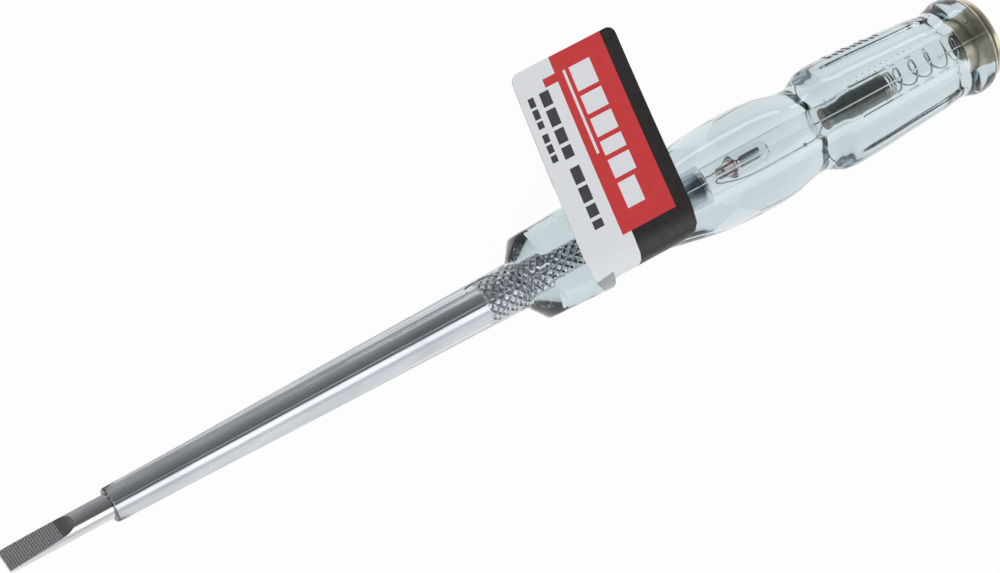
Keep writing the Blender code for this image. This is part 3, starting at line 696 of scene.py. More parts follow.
# %% Lamp finishes
glass = Finish("lamp_glass", (0.97, 0.975, 0.98), roughness=0.02)
glass.see_through(1.0, 1.50)
glass.bump(glass.grain(1.0 * MM), 0.01 * MM, 0.2)
pinch = Finish("pinched_glass", (0.93, 0.82, 0.80))
pinch.see_through(0.96, 1.50)
pinch.rough(pinch.grain(0.5 * MM), 0.05, 0.30)
pinch.bump(pinch.grain(0.6 * MM), 0.05 * MM, 0.5)
nickel = Finish("electrode_metal", (0.46, 0.45, 0.43), metallic=1.0)
nickel.rough(nickel.grain(0.1 * MM), 0.35, 0.60)
nickel.bump(nickel.grain(0.08 * MM), 0.01 * MM, 0.4)
copper = Finish("seal_wire", (0.52, 0.10, 0.08), metallic=1.0)
copper.rough(copper.grain(0.1 * MM), 0.30, 0.45)
print("finishes: lamp glass, pinched seal, electrodes, seal wires")

# %% Model the lamp
LAMP_FRONT = 134.9 * MM
SEAL_END = 137.2 * MM
LAMP_END = 144.7 * MM
LAMP_CENTRE = (0.35 * MM, 0.0)
GLASS_RADIUS = 2.05 * MM
GLASS_WALL = 0.35 * MM
ELECTRODE_RADIUS = 0.43 * MM
FRONT_BREAK = 0.05 * MM
REAR_BREAK = 0.10 * MM
ELECTRODE_START = 139.1 * MM
ELECTRODE_END = 142.8 * MM
ELECTRODE_SPREAD = 0.62 * MM
ELECTRODE_ANGLE = math.radians(35.0)
SEAL_WIRE_RADIUS = 0.14 * MM
SEAL_WIRE_START = 136.0 * MM
SEAL_WIRE_LAP = 0.10 * MM
DOME_STEPS = 10
LAMP_SIDES = 48
QUARTER = math.pi / 2.0


def dome(end, radius):
    # Quarter round that closes a tube towards +X, down to a point near the axis.
    angles = steps(0.0, QUARTER, DOME_STEPS)
    return [(end - radius + radius * math.sin(angle), radius * math.cos(angle)) for angle in angles]


inner_radius = GLASS_RADIUS - GLASS_WALL
tube_inside = [(SEAL_END, inner_radius)] + dome(LAMP_END - GLASS_WALL, inner_radius)
tube_line = list(reversed(tube_inside)) + [(SEAL_END, GLASS_RADIUS)] + dome(LAMP_END, GLASS_RADIUS)
tube = turned(tube_line, LAMP_SIDES, LAMP_CENTRE)
piece("lamp_tube", tube, glass.material, "handle", ["lamp_glass"])

# %% Model the pinch
SEAL_LINE = [
    (134.9, 0.75), (135.1, 1.02), (136.0, 1.10), (136.7, 1.62), (137.1, 2.0), (137.15, 2.05),
    (137.25, 1.60), (137.7, 1.35), (138.2, 0.95), (138.5, 0.60), (138.6, 0.30),
]
PINCH_RIM = 137.15 * MM
PINCH_THIN = 0.55
PINCH_SIDES = 40
PINCH_ROWS = (16, 20)
seal_line = scaled(SEAL_LINE)
pinch_end = seal_line[-1][0]
seal_stations = steps(LAMP_FRONT, PINCH_RIM, PINCH_ROWS[0])
seal_stations += steps(PINCH_RIM, pinch_end, PINCH_ROWS[1]) + [pinch_end]


def seal_point(x, turn):
    # Pinching flattens the glass: wide along Y, thin along Z at the very end.
    radius = eased_line(seal_line, x)
    flat = PINCH_THIN + (1.0 - PINCH_THIN) * ease(LAMP_FRONT, SEAL_END, x)
    return Vector((x, radius * math.cos(turn) + LAMP_CENTRE[0], radius * flat * math.sin(turn)))


seal = pulled(seal_stations, PINCH_SIDES, seal_point)
piece("lamp_pinch", seal, pinch.material, "handle", ["lamp_seal"])

# %% Model the electrodes and their wires
ELECTRODE_SIDES = 28
SEAL_WIRE_SIDES = 16
for name, side in (("front", 1.0), ("rear", -1.0)):
    offset = (
        LAMP_CENTRE[0] + side * ELECTRODE_SPREAD * math.cos(ELECTRODE_ANGLE),
        side * ELECTRODE_SPREAD * math.sin(ELECTRODE_ANGLE),
    )
    electrode_line = [
        (ELECTRODE_START, SEAL_WIRE_RADIUS), (ELECTRODE_START, ELECTRODE_RADIUS - FRONT_BREAK),
        (ELECTRODE_START + FRONT_BREAK, ELECTRODE_RADIUS), (ELECTRODE_END - REAR_BREAK, ELECTRODE_RADIUS),
        (ELECTRODE_END, ELECTRODE_RADIUS - REAR_BREAK),
    ]
    electrode = turned(electrode_line, ELECTRODE_SIDES, offset)
    node = f"lamp_electrode_{name}"
    piece(f"electrode_{name}", electrode, nickel.material, "handle", [node])
    stem_line = [(SEAL_WIRE_START, SEAL_WIRE_RADIUS), (ELECTRODE_START + SEAL_WIRE_LAP, SEAL_WIRE_RADIUS)]
    stem = turned(stem_line, SEAL_WIRE_SIDES, offset)
    piece(f"seal_wire_{name}", stem, copper.material, "handle", [])

# %% [markdown]
# ## Wires and solder
#
# Two leads leave the pinch. The short one bends towards the rod and touches it. The long one
# folds back, lies along the glass and is soldered to the resistor's wire. A smooth curve with a
# round section is the quickest way to a wire.

# %% Wire finishes
tinned = Finish("tinned_wire", (0.66, 0.64, 0.60), metallic=1.0)
tinned.rough(tinned.grain(0.15 * MM, stretch=(8.0, 1.0, 1.0)), 0.22, 0.45)
tinned.bump(tinned.grain(0.1 * MM), 0.01 * MM, 0.3)
solder = Finish("solder", (0.48, 0.48, 0.48), metallic=1.0)
solder.rough(solder.grain(0.3 * MM), 0.20, 0.50)
solder.bump(solder.grain(0.25 * MM), 0.04 * MM, 0.5)
print("finishes:", tinned.material.name, "and", solder.material.name)

# %% Bend the wires
LEAD_RADIUS = 0.15 * MM
FRONT_LEAD = [
    (131.7, 0.80, 0.0), (132.6, 0.84, 0.1), (133.7, 0.75, 0.3), (134.9, 0.86, 0.35), (136.2, 0.86, 0.35),
]
REAR_LEAD = [
    (136.2, -0.16, -0.35), (134.7, -0.35, -0.2), (134.2, -0.75, 0.0), (134.5, -1.15, 0.3),
    (135.6, -1.55, 0.6), (137.2, -1.95, 0.7), (139.4, -2.22, 0.85), (142.0, -2.33, 0.75),
    (145.0, -2.35, 0.6), (148.0, -2.25, 0.5), (149.6, -2.15, 0.4),
]
RESISTOR_LEAD = [
    (149.9, -2.1, 0.38), (151.4, -2.15, 0.35), (153.4, -1.8, 0.3), (155.2, -1.0, 0.15), (157.1, -0.3, 0.0),
]


def wire(name, route, node):
    curve = bpy.data.curves.new(name, "CURVE")
    curve.dimensions = "3D"
    curve.bevel_depth = LEAD_RADIUS
    curve.bevel_resolution = 3
    curve.use_fill_caps = True
    spline = curve.splines.new("BEZIER")
    spline.bezier_points.add(len(route) - 1)
    for knot, point in zip(spline.bezier_points, route):
        knot.co = Vector(point) * MM
        knot.handle_left_type = "AUTO"
        knot.handle_right_type = "AUTO"
    curve.materials.append(tinned.material)
    thing = new_object(name, curve)
    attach(thing, "handle")
    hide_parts(node)
    print(f"{name}: wire through {len(route)} points")


wire("front_lead", FRONT_LEAD, "lamp_lead_front")
wire("rear_lead", REAR_LEAD, "lamp_lead_rear")
wire("resistor_wire", RESISTOR_LEAD, "resistor_lead")

# %% Solder bead
BEAD_CENTRE = Vector((149.8, -2.12, 0.38)) * MM
BEAD_RADIUS = 0.36 * MM
BEAD_STRETCH = (1.05, 1.20, 1.25)
bead = bmesh.new()
bmesh.ops.create_icosphere(bead, subdivisions=4, radius=BEAD_RADIUS)
bmesh.ops.scale(bead, verts=bead.verts, vec=BEAD_STRETCH)
bmesh.ops.translate(bead, verts=bead.verts, vec=BEAD_CENTRE)
piece("solder_drop", bead, solder.material, "handle", ["solder_bead"])

# %% [markdown]
# ## Resistor
#
# A half-watt resistor: a ceramic rod in dark grey-green lacquer, with a pressed brass cap on each
# end. The lacquer was dipped on, so it swells a little and its surface is not quite even.

# %% Resistor finishes
lacquer = Finish("resistor_coating", (0.105, 0.115, 0.100))
lacquer.mottle(lacquer.grain(1.2 * MM), (0.18, 0.19, 0.16))
lacquer.rough(lacquer.grain(0.4 * MM), 0.22, 0.42)
lacquer.bump(lacquer.grain(0.7 * MM), 0.03 * MM, 0.4)
cap_brass = Finish("resistor_cap_brass", (0.36, 0.32, 0.25), metallic=1.0)
cap_brass.mottle(cap_brass.grain(0.8 * MM), (0.22, 0.20, 0.18))
cap_brass.rough(cap_brass.grain(0.3 * MM), 0.25, 0.45)
cap_brass.bump(cap_brass.grain(0.2 * MM), 0.01 * MM, 0.4)
print("finishes:", lacquer.material.name, "and", cap_brass.material.name)

# %% Model the resistor
RESISTOR_FRONT = 157.0 * MM
RESISTOR_END = 168.6 * MM
RESISTOR_RADIUS = 2.18 * MM
RESISTOR_SIDES = 56
CUP_LENGTH = 1.2 * MM
CUP_ROUND = 0.25 * MM
CUP_HOLE = 0.5 * MM
CUP_INSIDE = 1.9 * MM
CUP_STEPS = 5
RIM_LENGTH = 0.10 * MM
RIM_DROP = 0.06 * MM
COAT_LAP = 0.10 * MM
COAT_RADIUS = 2.06 * MM
COAT_SWELL = 0.10 * MM
COAT_EDGE = 0.20 * MM
COAT_STEPS = 24


def coat_profile():
    # Starts and ends just inside the cups.
    start = RESISTOR_FRONT + CUP_LENGTH - COAT_LAP
    end = RESISTOR_END - CUP_LENGTH + COAT_LAP
    line = [(start, COAT_RADIUS - COAT_EDGE)]
    for share in steps(0.0, 1.0, COAT_STEPS) + [1.0]:
        swell = COAT_SWELL * math.sqrt(max(0.0, math.sin(math.pi * share)))
        line.append((start + (end - start) * share, COAT_RADIUS + swell))
    return line + [(end, COAT_RADIUS - COAT_EDGE)]


def cup_profile(face, inward):
    # From the hole for the lead, over the rounded edge, to the rim round the lacquer.
    line = [(face, CUP_HOLE), (face, RESISTOR_RADIUS - CUP_ROUND)]
    for angle in steps(0.0, QUARTER, CUP_STEPS)[1:] + [QUARTER]:
        x = face + inward * CUP_ROUND * (1.0 - math.cos(angle))
        line.append((x, RESISTOR_RADIUS - CUP_ROUND + CUP_ROUND * math.sin(angle)))
    rim = face + inward * CUP_LENGTH
    line.append((rim - inward * RIM_LENGTH, RESISTOR_RADIUS))
    return line + [(rim, RESISTOR_RADIUS - RIM_DROP), (rim, CUP_INSIDE)]


coat = turned(coat_profile(), RESISTOR_SIDES)
coat_nodes = ["resistor_coat", "resistor_core"]
piece("resistor_coat_fine", coat, lacquer.material, "handle", coat_nodes)
for name, face, inward in (("front", RESISTOR_FRONT, 1.0), ("rear", RESISTOR_END, -1.0)):
    cup = turned(cup_profile(face, inward), RESISTOR_SIDES)
    node = f"resistor_cap_{name}"
    piece(f"resistor_cup_{name}", cup, cap_brass.material, "handle", [node])

# %% [markdown]
# ## Contact spring
#
# The spring presses the resistor forward and carries the current to the cap. It is wound with two
# close turns at each end and five open turns between them. Spinning a small circle with a step
# along the axis winds the wire just as a coiling machine does. Its free turns lean a little, as
# a light spring's do when it is pressed into a bore.

# %% Spring finish
steel = Finish("spring_steel", (0.55, 0.54, 0.52), metallic=1.0)
steel.rough(steel.grain(0.1 * MM), 0.18, 0.38)
steel.bump(steel.grain(0.08 * MM), 0.006 * MM, 0.3)
print("finish:", steel.material.name)

# %% Winding helpers
def wind(shape, tip, turns, pitch, rows):
    # Spins a section round the X axis, with rows steps and one pitch of travel in each turn.
    spun = bmesh.ops.spin(
        shape, geom=tip, cent=(0.0, 0.0, 0.0), axis=(1.0, 0.0, 0.0), angle=math.tau * turns,
        dvec=(pitch / rows, 0.0, 0.0), steps=abs(turns) * rows, use_merge=False,
    )
    return spun["geom_last"]


def close_end(shape, tip):
    rim = [item for item in tip if isinstance(item, bmesh.types.BMEdge)]
    bmesh.ops.contextual_create(shape, geom=rim)


print("helpers: wind, close_end")

# %% Wind the spring
SPRING_FRONT = 169.0 * MM
SPRING_REAR = 187.6 * MM
COIL_RADIUS = 1.88 * MM
SPRING_WIRE = 0.175 * MM
CLOSE_TURNS = 2
OPEN_TURNS = 5
CLOSE_PITCH = 0.52 * MM
STEPS_PER_TURN = 28
SPRING_WIRE_SIDES = 10
NO_SHARP_EDGES = math.pi
# Place along the axis, and how far the wire leans along X for each unit of height.
SPRING_LEAN = [(169.4, 0.0), (170.6, 0.20), (173.0, 0.27), (179.5, 0.0), (183.0, -0.08), (185.5, 0.0)]
spring_lean = tuple((x * MM, lean) for x, lean in SPRING_LEAN)
open_pitch = (SPRING_REAR - SPRING_FRONT - 2 * CLOSE_TURNS * CLOSE_PITCH) / OPEN_TURNS

coil = bmesh.new()
section = bmesh.ops.create_circle(coil, segments=SPRING_WIRE_SIDES, radius=SPRING_WIRE)["verts"]
bmesh.ops.translate(coil, verts=section, vec=(SPRING_FRONT, -COIL_RADIUS, 0.0))
first_end = coil.edges[:]
tip = coil.verts[:] + first_end
for turns, pitch in ((CLOSE_TURNS, CLOSE_PITCH), (OPEN_TURNS, open_pitch), (CLOSE_TURNS, CLOSE_PITCH)):
    tip = wind(coil, tip, -turns, pitch, STEPS_PER_TURN)
close_end(coil, first_end)
close_end(coil, tip)
for vert in coil.verts:
    vert.co.x += eased_line(spring_lean, vert.co.x) * vert.co.z
spring = piece("spring_fine", coil, steel.material, None, ["contact_spring"], NO_SHARP_EDGES)
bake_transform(spring)

# %% [markdown]
# ## Screw cap
#
# The cap is turned brass under a thin satin plating, which lets some of the brass's warmth
# through. Its face shows fine turning rings, so that grain depends on the distance from the
# axis. The thread on its hollow plug is wound in the same way as the spring, from a tiny triangle.

# %% Cap finish
RING_WIDTH = 0.12 * MM
warm = Finish("plated_brass", (0.70, 0.61, 0.46), metallic=1.0)
place = warm.node("ShaderNodeTexCoord")
split = warm.node("ShaderNodeSeparateXYZ")
warm.link(place.outputs["Object"], split.inputs["Vector"])
plane = warm.node("ShaderNodeCombineXYZ")
warm.link(split.outputs["Y"], plane.inputs["Y"])
warm.link(split.outputs["Z"], plane.inputs["Z"])
distance = warm.node("ShaderNodeVectorMath", operation="LENGTH")
warm.link(plane.outputs["Vector"], distance.inputs[0])
rings = warm.node("ShaderNodeTexNoise", noise_dimensions="1D")
rings.inputs["Scale"].default_value = 1.0 / RING_WIDTH
warm.link(distance.outputs["Value"], rings.inputs["W"])
warm.rough(rings.outputs["Fac"], 0.24, 0.42)
warm.bump(rings.outputs["Fac"], 0.01 * MM, 0.4)
warm.mottle(warm.grain(2.0 * MM), (0.60, 0.51, 0.36))
print("finish:", warm.material.name)

# %% Model the cap
HEAD_FRONT = 188.8 * MM
HEAD_END = 190.0 * MM
HEAD_RADIUS = 7.30 * MM
PLUG_FRONT = 185.0 * MM
PLUG_RADIUS = 3.00 * MM
PLUG_INSIDE = 2.45 * MM
PLUG_BREAK = 0.15 * MM
HOLLOW_END = 188.5 * MM
HOLLOW_POLE = 0.4 * MM
CAP_SIDES = 96
# Share of the head's thickness and share of its radius.
HEAD_LINE = [
    (0.0, 0.955), (0.12, 0.985), (0.3, 1.0), (0.62, 0.992), (0.86, 0.955), (0.97, 0.90), (1.0, 0.84),
    (1.0, 0.60), (1.0, 0.35), (1.0, 0.12),
]

thick = HEAD_END - HEAD_FRONT
head = [(HEAD_FRONT + thick * share, HEAD_RADIUS * size) for share, size in HEAD_LINE]
plug = [
    (HOLLOW_END, HOLLOW_POLE), (HOLLOW_END, PLUG_INSIDE), (PLUG_FRONT, PLUG_INSIDE),
    (PLUG_FRONT, PLUG_RADIUS - PLUG_BREAK), (PLUG_FRONT + PLUG_BREAK, PLUG_RADIUS),
    (HEAD_FRONT, PLUG_RADIUS),
]
cap = turned(plug + head, CAP_SIDES)
print("cap:", len(plug + head), "points turned")

# %% Wind the thread on the plug
THREAD_START = 185.35 * MM
THREAD_PITCH = 0.70 * MM
THREAD_TURNS = 4
THREAD_STEPS = 40
RIDGE_RADIUS = 0.032 * MM
RIDGE_SIDES = 3

ridge = bmesh.ops.create_circle(cap, segments=RIDGE_SIDES, radius=RIDGE_RADIUS)["verts"]
bmesh.ops.translate(cap, verts=ridge, vec=(THREAD_START, PLUG_RADIUS, 0.0))
ridge_end = [edge for edge in cap.edges if edge.verts[0] in ridge]
tip = wind(cap, ridge + ridge_end, THREAD_TURNS, THREAD_PITCH, THREAD_STEPS)
close_end(cap, ridge_end)
close_end(cap, tip)
piece("cap_fine", cap, warm.material, "cap", ["end_cap"])

# %% [markdown]
# ## Paper label
#
# One die-cut strip of coated paper. Its printed front stands out to one side, then the strip
# narrows, passes down and round the neck, comes up again and is glued to the back of the flag.
# The sheet is a grid laid along that path, so the print can follow the paper through a UV map.
# Its print is plain fields of red and black, with generic bars that say nothing.

# %% Label's path
# In millimetres: (y, z) along the path, and the band's turns in degrees and steps.
LABEL_FAR = 30.0
LABEL_TOP = 8.22
FLAT_NEAR = -3.4
BAND_LOOP = [(-4.9, 7.95), (-5.95, 7.1), (-6.45, 5.5), (-6.55, 3.4), (-6.4, 1.4)]
BAND_RADIUS = 6.25
BAND_TURNS = (180.0, 342.0, 18)
CREASE_LOOP = [(6.35, 0.6), (6.6, 3.4), (7.1, 6.0), (7.9, 7.55), (9.2, 7.92)]
BACK_TOP = 7.96
BACK_NEAR = 11.0
FLAG_CORNER = 1.5
CURL = 0.55
CURL_NEAR = 8.0
# Rows of the sheet on the rounded corners, the front of the flag and its back.
CORNER_ROWS = 8
FLAG_ROWS = 30
BACK_ROWS = 16


def flag_rise(y):
    # Paper never lies quite flat: the flag lifts slightly towards its far end.
    return CURL * max(0.0, (y - CURL_NEAR) / (LABEL_FAR - CURL_NEAR)) ** 2


def corner_rows():
    # Rows crowd towards the far end, where the corners are rounded.
    angles = steps(0.0, QUARTER, CORNER_ROWS)
    return [LABEL_FAR - FLAG_CORNER * (1.0 - math.cos(angle)) for angle in angles]


def label_path():
    front = corner_rows() + steps(LABEL_FAR - FLAG_CORNER, FLAT_NEAR, FLAG_ROWS)
    path = [(y, LABEL_TOP + flag_rise(y)) for y in front]
    path += BAND_LOOP
    start, end, count = BAND_TURNS
    for turn in steps(start, end, count) + [end]:
        angle = math.radians(turn)
        path.append((BAND_RADIUS * math.cos(angle), BAND_RADIUS * math.sin(angle)))
    path += CREASE_LOOP
    rear = steps(BACK_NEAR, LABEL_FAR - FLAG_CORNER, BACK_ROWS) + list(reversed(corner_rows()))
    path += [(y, BACK_TOP + flag_rise(y)) for y in rear]
    return path


path = label_path()
print("label path:", len(path), "rows")

# %% [markdown]
# Across that path the sheet has a left and a right limit along X. Both lean towards the cap as
# the flag runs out. They close in to a narrow band round the neck, and open again at the back.

# %% Label's edges
# In millimetres along X: over the tool's axis, how far the flag leans, and on the band.
LEFT_NEAR, RIGHT_NEAR = 104.4, 125.5
LEFT_LEAN, RIGHT_LEAN = 3.3, 2.3
BAND_LEFT, BAND_RIGHT = 110.9, 118.2


def full_edges(y):
    # Left and right limit of the flag along X, before its corners are rounded.
    return LEFT_NEAR + LEFT_LEAN * y / LABEL_FAR, RIGHT_NEAR + RIGHT_LEAN * y / LABEL_FAR


def sheet_edges(y):
    # The same limits with the far corners rounded.
    left, right_x = full_edges(y)
    past = max(0.0, y - (LABEL_FAR - FLAG_CORNER))
    inset = FLAG_CORNER - math.sqrt(max(0.0, FLAG_CORNER ** 2 - past ** 2))
    return left + inset, right_x - inset


def near_share(index):
    # 0 on the flags and 1 on the narrow band, with a rounded shoulder between.
    front_rows = CORNER_ROWS + FLAG_ROWS
    loop_rows = len(BAND_LOOP)
    rear_start = front_rows + loop_rows + BAND_TURNS[2] + 1
    if index < front_rows - 1:
        return 0.0
    if index < front_rows + loop_rows:
        share = (index - front_rows + 2) / (loop_rows + 1)
        return min(1.0, 1.0 - math.sqrt(max(0.0, 1.0 - share ** 2)))
    if index < rear_start:
        return 1.0
    share = 1.0 - (index - rear_start + 1) / (len(CREASE_LOOP) + 1)
    return max(0.0, min(1.0, share)) if index < rear_start + len(CREASE_LOOP) else 0.0


print("label: band", round(BAND_RIGHT - BAND_LEFT, 1), "mm wide")

# %% Model the label
PAPER = 0.20 * MM
LABEL_COLUMNS = 24
LABEL_SHARP = math.radians(50.0)
V_UNIT = 100.0

label = bmesh.new()
uv = label.loops.layers.uv.new("print")
bmesh.ops.create_grid(label, x_segments=LABEL_COLUMNS, y_segments=len(path) - 1, size=0.5)
lengths = [0.0]
for a, b in zip(path, path[1:]):
    lengths.append(lengths[-1] + math.dist(a, b))
print_place = {}
for vert in label.verts:
    column = vert.co.x + 0.5
    row = round((vert.co.y + 0.5) * (len(path) - 1))
    y, z = path[row]
    left, right_x = sheet_edges(y)
    narrow = near_share(row)
    low = left + (BAND_LEFT - left) * narrow
    high = right_x + (BAND_RIGHT - right_x) * narrow
    x = low + (high - low) * column
    vert.co = Vector((x, y, z)) * MM
    full_left, full_right = full_edges(y)
    print_place[vert] = ((x - full_left) / (full_right - full_left), lengths[row] / V_UNIT)
for face in label.faces:
    for loop in face.loops:
        loop[uv].uv = print_place[loop.vert]
bmesh.ops.solidify(label, geom=label.faces[:], thickness=PAPER)
print("label: paper", round(lengths[-1], 1), "mm long")

# %% [markdown]
# The print lives in the material. Each printed field is a box in the label's own flat
# coordinates: u runs across the flag from 0 to 1, and v along the paper in tenths of a metre.

# %% Boxes in the print
paper = Finish("label_paper", (0.80, 0.81, 0.83), roughness=0.4)
uv_node = paper.node("ShaderNodeUVMap", uv_map="print")
uv_split = paper.node("ShaderNodeSeparateXYZ")
paper.link(uv_node.outputs["UV"], uv_split.inputs["Vector"])


def between(source, low, high):
    # 1 where a coordinate lies between two values.
    above = reckon(paper.tree, "GREATER_THAN", source, low)
    below = reckon(paper.tree, "LESS_THAN", source, high)
    return reckon(paper.tree, "MULTIPLY", above, below)


def field(u_low, u_high, v_low, v_high):
    # 1 inside a box in the label's flat coordinates.
    in_u = between(uv_split.outputs["X"], u_low, u_high)
    in_v = between(uv_split.outputs["Y"], v_low, v_high)
    return reckon(paper.tree, "MULTIPLY", in_u, in_v)


print("helpers: between, field")

# %% Print the label
RED = (0.64, 0.034, 0.037)
BLACK = (0.022, 0.018, 0.017)
DARK_INK = (0.06, 0.06, 0.065)
WHITE_INK = (0.80, 0.80, 0.82)
RED_END_V = 0.310
# Each field is a box and its ink.
FIELDS = [
    ((0.37, 0.87, -0.01, RED_END_V), RED),
    ((0.87, 1.20, -0.01, 2.0), BLACK),
    ((0.45, 0.87, RED_END_V, 2.0), BLACK),
    ((0.25, 0.37, 0.028, 0.042), RED),
]
# Each row runs from one u to another, with bars from v to v.
ROWS = [
    (0.50, 0.70, ((0.030, 0.072), (0.080, 0.112), (0.120, 0.152)), WHITE_INK),
    (0.50, 0.70, ((0.160, 0.184), (0.192, 0.224)), WHITE_INK),
    (0.50, 0.66, ((0.232, 0.276),), WHITE_INK),
    (0.44, 0.463, ((0.030, 0.175),), WHITE_INK),
    (0.175, 0.265, ((0.046, 0.070), (0.076, 0.104), (0.110, 0.134), (0.140, 0.160)), DARK_INK),
    (0.175, 0.265, ((0.176, 0.204), (0.210, 0.236), (0.242, 0.262), (0.268, 0.282)), DARK_INK),
    (0.065, 0.120, ((0.046, 0.062), (0.066, 0.082), (0.086, 0.098)), DARK_INK),
    (0.065, 0.120, ((0.108, 0.122), (0.126, 0.140), (0.144, 0.156)), DARK_INK),
]
BARS = [((low, high, *run), colour) for low, high, runs, colour in ROWS for run in runs]

# Each ink goes over what is already there, from bare paper up.
layer = paper.colour
for box, colour in FIELDS + BARS:
    layer = mix_colours(paper.tree, field(*box), layer, colour)
print("label: print in", len(FIELDS), "fields and", len(BARS), "bars")

# %% Label's paper
PAPER_SHADE = 0.94
fibres = paper.grain(0.35 * MM)
shade = paper.node("ShaderNodeCombineColor")
level = paper.spread(fibres, PAPER_SHADE, 1.0)
for channel in ("Red", "Green", "Blue"):
    paper.link(level, shade.inputs[channel])
worn = mix_colours(paper.tree, 1.0, layer, shade.outputs["Color"], blend_type="MULTIPLY")
paper.link(worn, paper.shader.inputs["Base Color"])
paper.rough(paper.grain(1.0 * MM), 0.30, 0.50)
paper.bump(fibres, 0.01 * MM, 0.3)
piece("label_fine", label, paper.material, "handle", ["label"], LABEL_SHARP)

# %% [markdown]
# ## Floor and light
#
# The tool lies on a white sweep, resting on its belly and on the edge of its collar, so the
# floor tilts a little under it. Most of the floor's white is its own, given to camera, mirror
# and glass rays alike, and a share stays ordinary paint that keeps the tool's soft shadow.

# %% Floor's material
FLOOR_GLOW = 0.955
FLOOR_PAINT = (0.85, 0.85, 0.86)
PURE_WHITE = (1.0, 1.0, 1.0)


def bare_material(name):
    # A material with nothing in it yet but its output.
    material = bpy.data.materials.new(name)
    material.use_nodes = True
    material.node_tree.nodes.clear()
    output = add_node(material.node_tree, "ShaderNodeOutputMaterial")
    return material, material.node_tree, output.inputs["Surface"]


def glowing(tree, colour):
    made = add_node(tree, "ShaderNodeEmission")
    feed(tree, colour, made.inputs["Color"])
    return made.outputs[0]


floor_material, tree, surface = bare_material("white_floor")
rays = add_node(tree, "ShaderNodeLightPath").outputs
seen = reckon(tree, "MAXIMUM", rays["Is Camera Ray"], rays["Is Glossy Ray"])
seen = reckon(tree, "MAXIMUM", seen, rays["Is Transmission Ray"])
paint = add_node(tree, "ShaderNodeBsdfDiffuse")
feed(tree, FLOOR_PAINT, paint.inputs["Color"])
blend = add_node(tree, "ShaderNodeMixShader")
feed(tree, reckon(tree, "MULTIPLY", seen, FLOOR_GLOW), blend.inputs["Fac"])
feed(tree, paint.outputs[0], blend.inputs[1])
feed(tree, glowing(tree, PURE_WHITE), blend.inputs[2])
feed(tree, blend.outputs[0], surface)
print("floor:", len(tree.nodes), "nodes")

# %% Lay the floor
COLLAR_REST = Vector((107.9, 0.0, -7.82)) * MM
BELLY_REST = Vector((142.7, 0.0, -8.99)) * MM
FLOOR_SIZE = 3.0


def card(name, material, centre, side, rise):
    # A flat rectangle whose half sides are the two given vectors.
    shape = bmesh.new()
    bmesh.ops.create_grid(shape, x_segments=1, y_segments=1, size=1.0)
    side, rise = Vector(side), Vector(rise)
    for vert in shape.verts:
        vert.co = Vector(centre) + side * vert.co.x + rise * vert.co.y
    thing = mesh_object(name, shape, material)
    return thing


slope = (BELLY_REST - COLLAR_REST).normalized()
floor_centre = (COLLAR_REST + BELLY_REST) / 2.0
card("floor", floor_material, floor_centre, slope * FLOOR_SIZE, (0.0, FLOOR_SIZE, 0.0))
print("floor tilts", round(math.degrees(math.asin(-slope.z)), 2), "degrees under the tool")

# %% [markdown]
# A grey card lies on the floor beyond the sleeve. Only mirror and glass rays see it, so the
# picture's floor stays white while the clear sleeve and the rod pick up a soft grey along that
# side. The card runs slightly aslant, as the sleeve's widening edge does.

# %% Lay the grey card
GREY = (0.40, 0.41, 0.42)
GREY_BEFORE = 95.5 * MM
GREY_CENTRE_Y = 154.5 * MM
GREY_LIFT = 0.3 * MM
GREY_HALF_LENGTH = 64.0 * MM
GREY_HALF_WIDTH = 150.0 * MM
GREY_SLANT = 3.2 * MM

grey, tree, surface = bare_material("grey_card")
feed(tree, glowing(tree, GREY), surface)
grey_centre = floor_centre - slope * GREY_BEFORE + Vector((0.0, GREY_CENTRE_Y, GREY_LIFT))
grey_side = slope * GREY_HALF_LENGTH + Vector((0.0, GREY_SLANT, 0.0))
grey_card = card("grey_card", grey, grey_centre, grey_side, (0.0, GREY_HALF_WIDTH, 0.0))
grey_card.visible_camera = False
grey_card.visible_diffuse = False
grey_card.visible_shadow = False
print("grey card:", round(2.0 * GREY_HALF_LENGTH / MM), "mm along the tool")

# %% [markdown]
# Bright metal and clear plastic look like what surrounds them. The studio is pale, but for mirror
# and glass rays it is darker overhead and on the far side. That gives the rod its dark half and
# the plastic its slate-coloured edges. Rays that run nearly along the tool find it pale again, so
# the steps of the handle don't turn black. Other rays get one plain level, so printed and
# painted surfaces keep their own colour.

# %% World
PLAIN_LEVEL = 0.74
# Angle from overhead towards +Y in degrees, and how bright mirrors find the studio there.
STUDIO_ROUND = [
    (-180, 0.75), (-26, 0.75), (-19, 0.12), (0, 0.13), (28, 0.18), (67, 0.30), (90, 0.42), (180, 0.60),
]
STUDIO_TINT = (0.97, 0.985, 1.0)
END_COLOUR = (0.73, 0.74, 0.75)
# How far along X a ray has to run before the pale ends begin, and where they are full.
END_FROM, END_FULL = 0.62, 0.90


def studio_colour(level):
    return tuple(part * level for part in STUDIO_TINT)


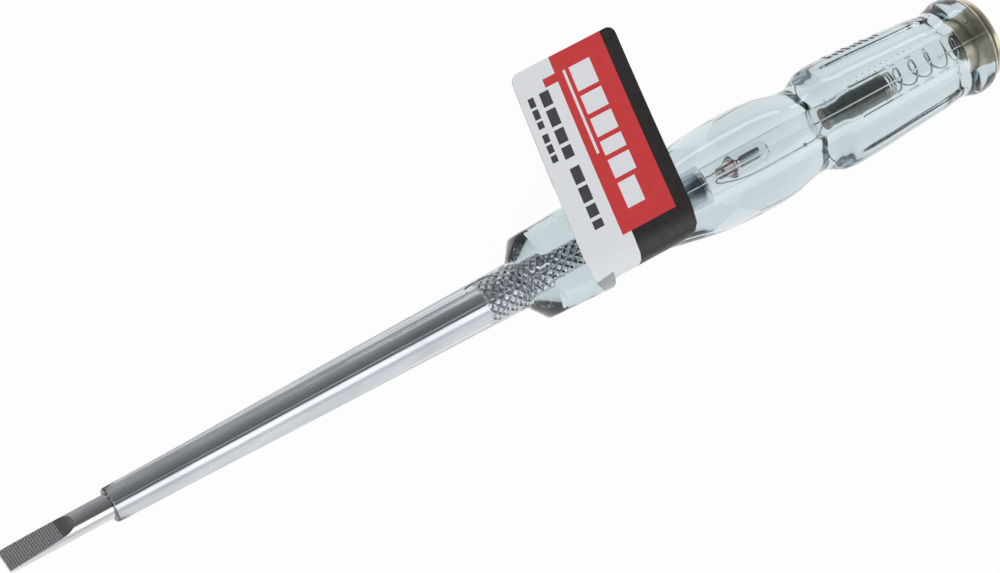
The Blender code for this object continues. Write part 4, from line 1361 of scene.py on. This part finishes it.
world = bpy.data.worlds.new("studio")
bpy.context.scene.world = world
world.use_nodes = True
sky = world.node_tree
facing_way = add_node(sky, "ShaderNodeTexCoord")
parts = add_node(sky, "ShaderNodeSeparateXYZ")
feed(sky, facing_way.outputs["Generated"], parts.inputs["Vector"])
angle = reckon(sky, "ARCTAN2", parts.outputs["Y"], parts.outputs["Z"])
ramp = add_node(sky, "ShaderNodeValToRGB")
for degrees, level in STUDIO_ROUND[1:-1]:
    ramp.color_ramp.elements.new(degrees / 360.0 + 0.5)
for stop, (degrees, level) in zip(ramp.color_ramp.elements, STUDIO_ROUND):
    stop.color = (*studio_colour(level), 1.0)
feed(sky, map_range(sky, angle, -math.pi, math.pi), ramp.inputs["Fac"])
lengthwise = reckon(sky, "ABSOLUTE", parts.outputs["X"])
near_end = map_range(sky, lengthwise, END_FROM, END_FULL)
rays = add_node(sky, "ShaderNodeLightPath").outputs
mirrored = reckon(sky, "MAXIMUM", rays["Is Glossy Ray"], rays["Is Transmission Ray"])
shown = mix_colours(sky, near_end, ramp.outputs["Color"], END_COLOUR)
shown = mix_colours(sky, mirrored, studio_colour(PLAIN_LEVEL), shown)
shown = mix_colours(sky, rays["Is Camera Ray"], shown, PURE_WHITE)
feed(sky, shown, sky.nodes["Background"].inputs["Color"])
print("world: plain level", PLAIN_LEVEL, "and", len(STUDIO_ROUND), "stops for mirrors")

# %% [markdown]
# Two soft lights: a large one on the near side, whose sharp upper edge draws the border between
# the rod's light and dark halves, and a small strip that puts one streak along the plastic. Glass
# rays don't see the strip, or it would show a second time through the handle.

# %% Lamps
AXIS = Vector((1.0, 0.0, 0.0))


def soft_light(name, centre, aim, length, width, brightness):
    # Aimed at a point on the tool, with its long side along it. Places and sizes are in metres.
    light = new_object(name, bpy.data.lights.new(name, "AREA"))
    light.data.shape = "RECTANGLE"
    light.data.size = length
    light.data.size_y = width
    light.data.energy = brightness * math.pi * length * width
    light.visible_camera = False
    centre = Vector(centre)
    away = (centre - Vector(aim)).normalized()
    side = (AXIS - away * away.x).normalized()
    turn = Matrix((side, away.cross(side), away)).transposed().to_4x4()
    light.matrix_world = Matrix.Translation(centre) @ turn
    return light


soft_light(
    "near_light", centre=(0.30, -0.61, 0.744), aim=(0.10, 0.0, 0.0), length=2.2, width=0.65,
    brightness=0.75,
)
strip = soft_light(
    "strip_light", centre=(0.250, 0.25, 0.0715), aim=(0.15, 0.005, 0.007), length=0.22, width=0.040,
    brightness=2.6,
)
strip.visible_transmission = False
print("lamps: near light and strip light")
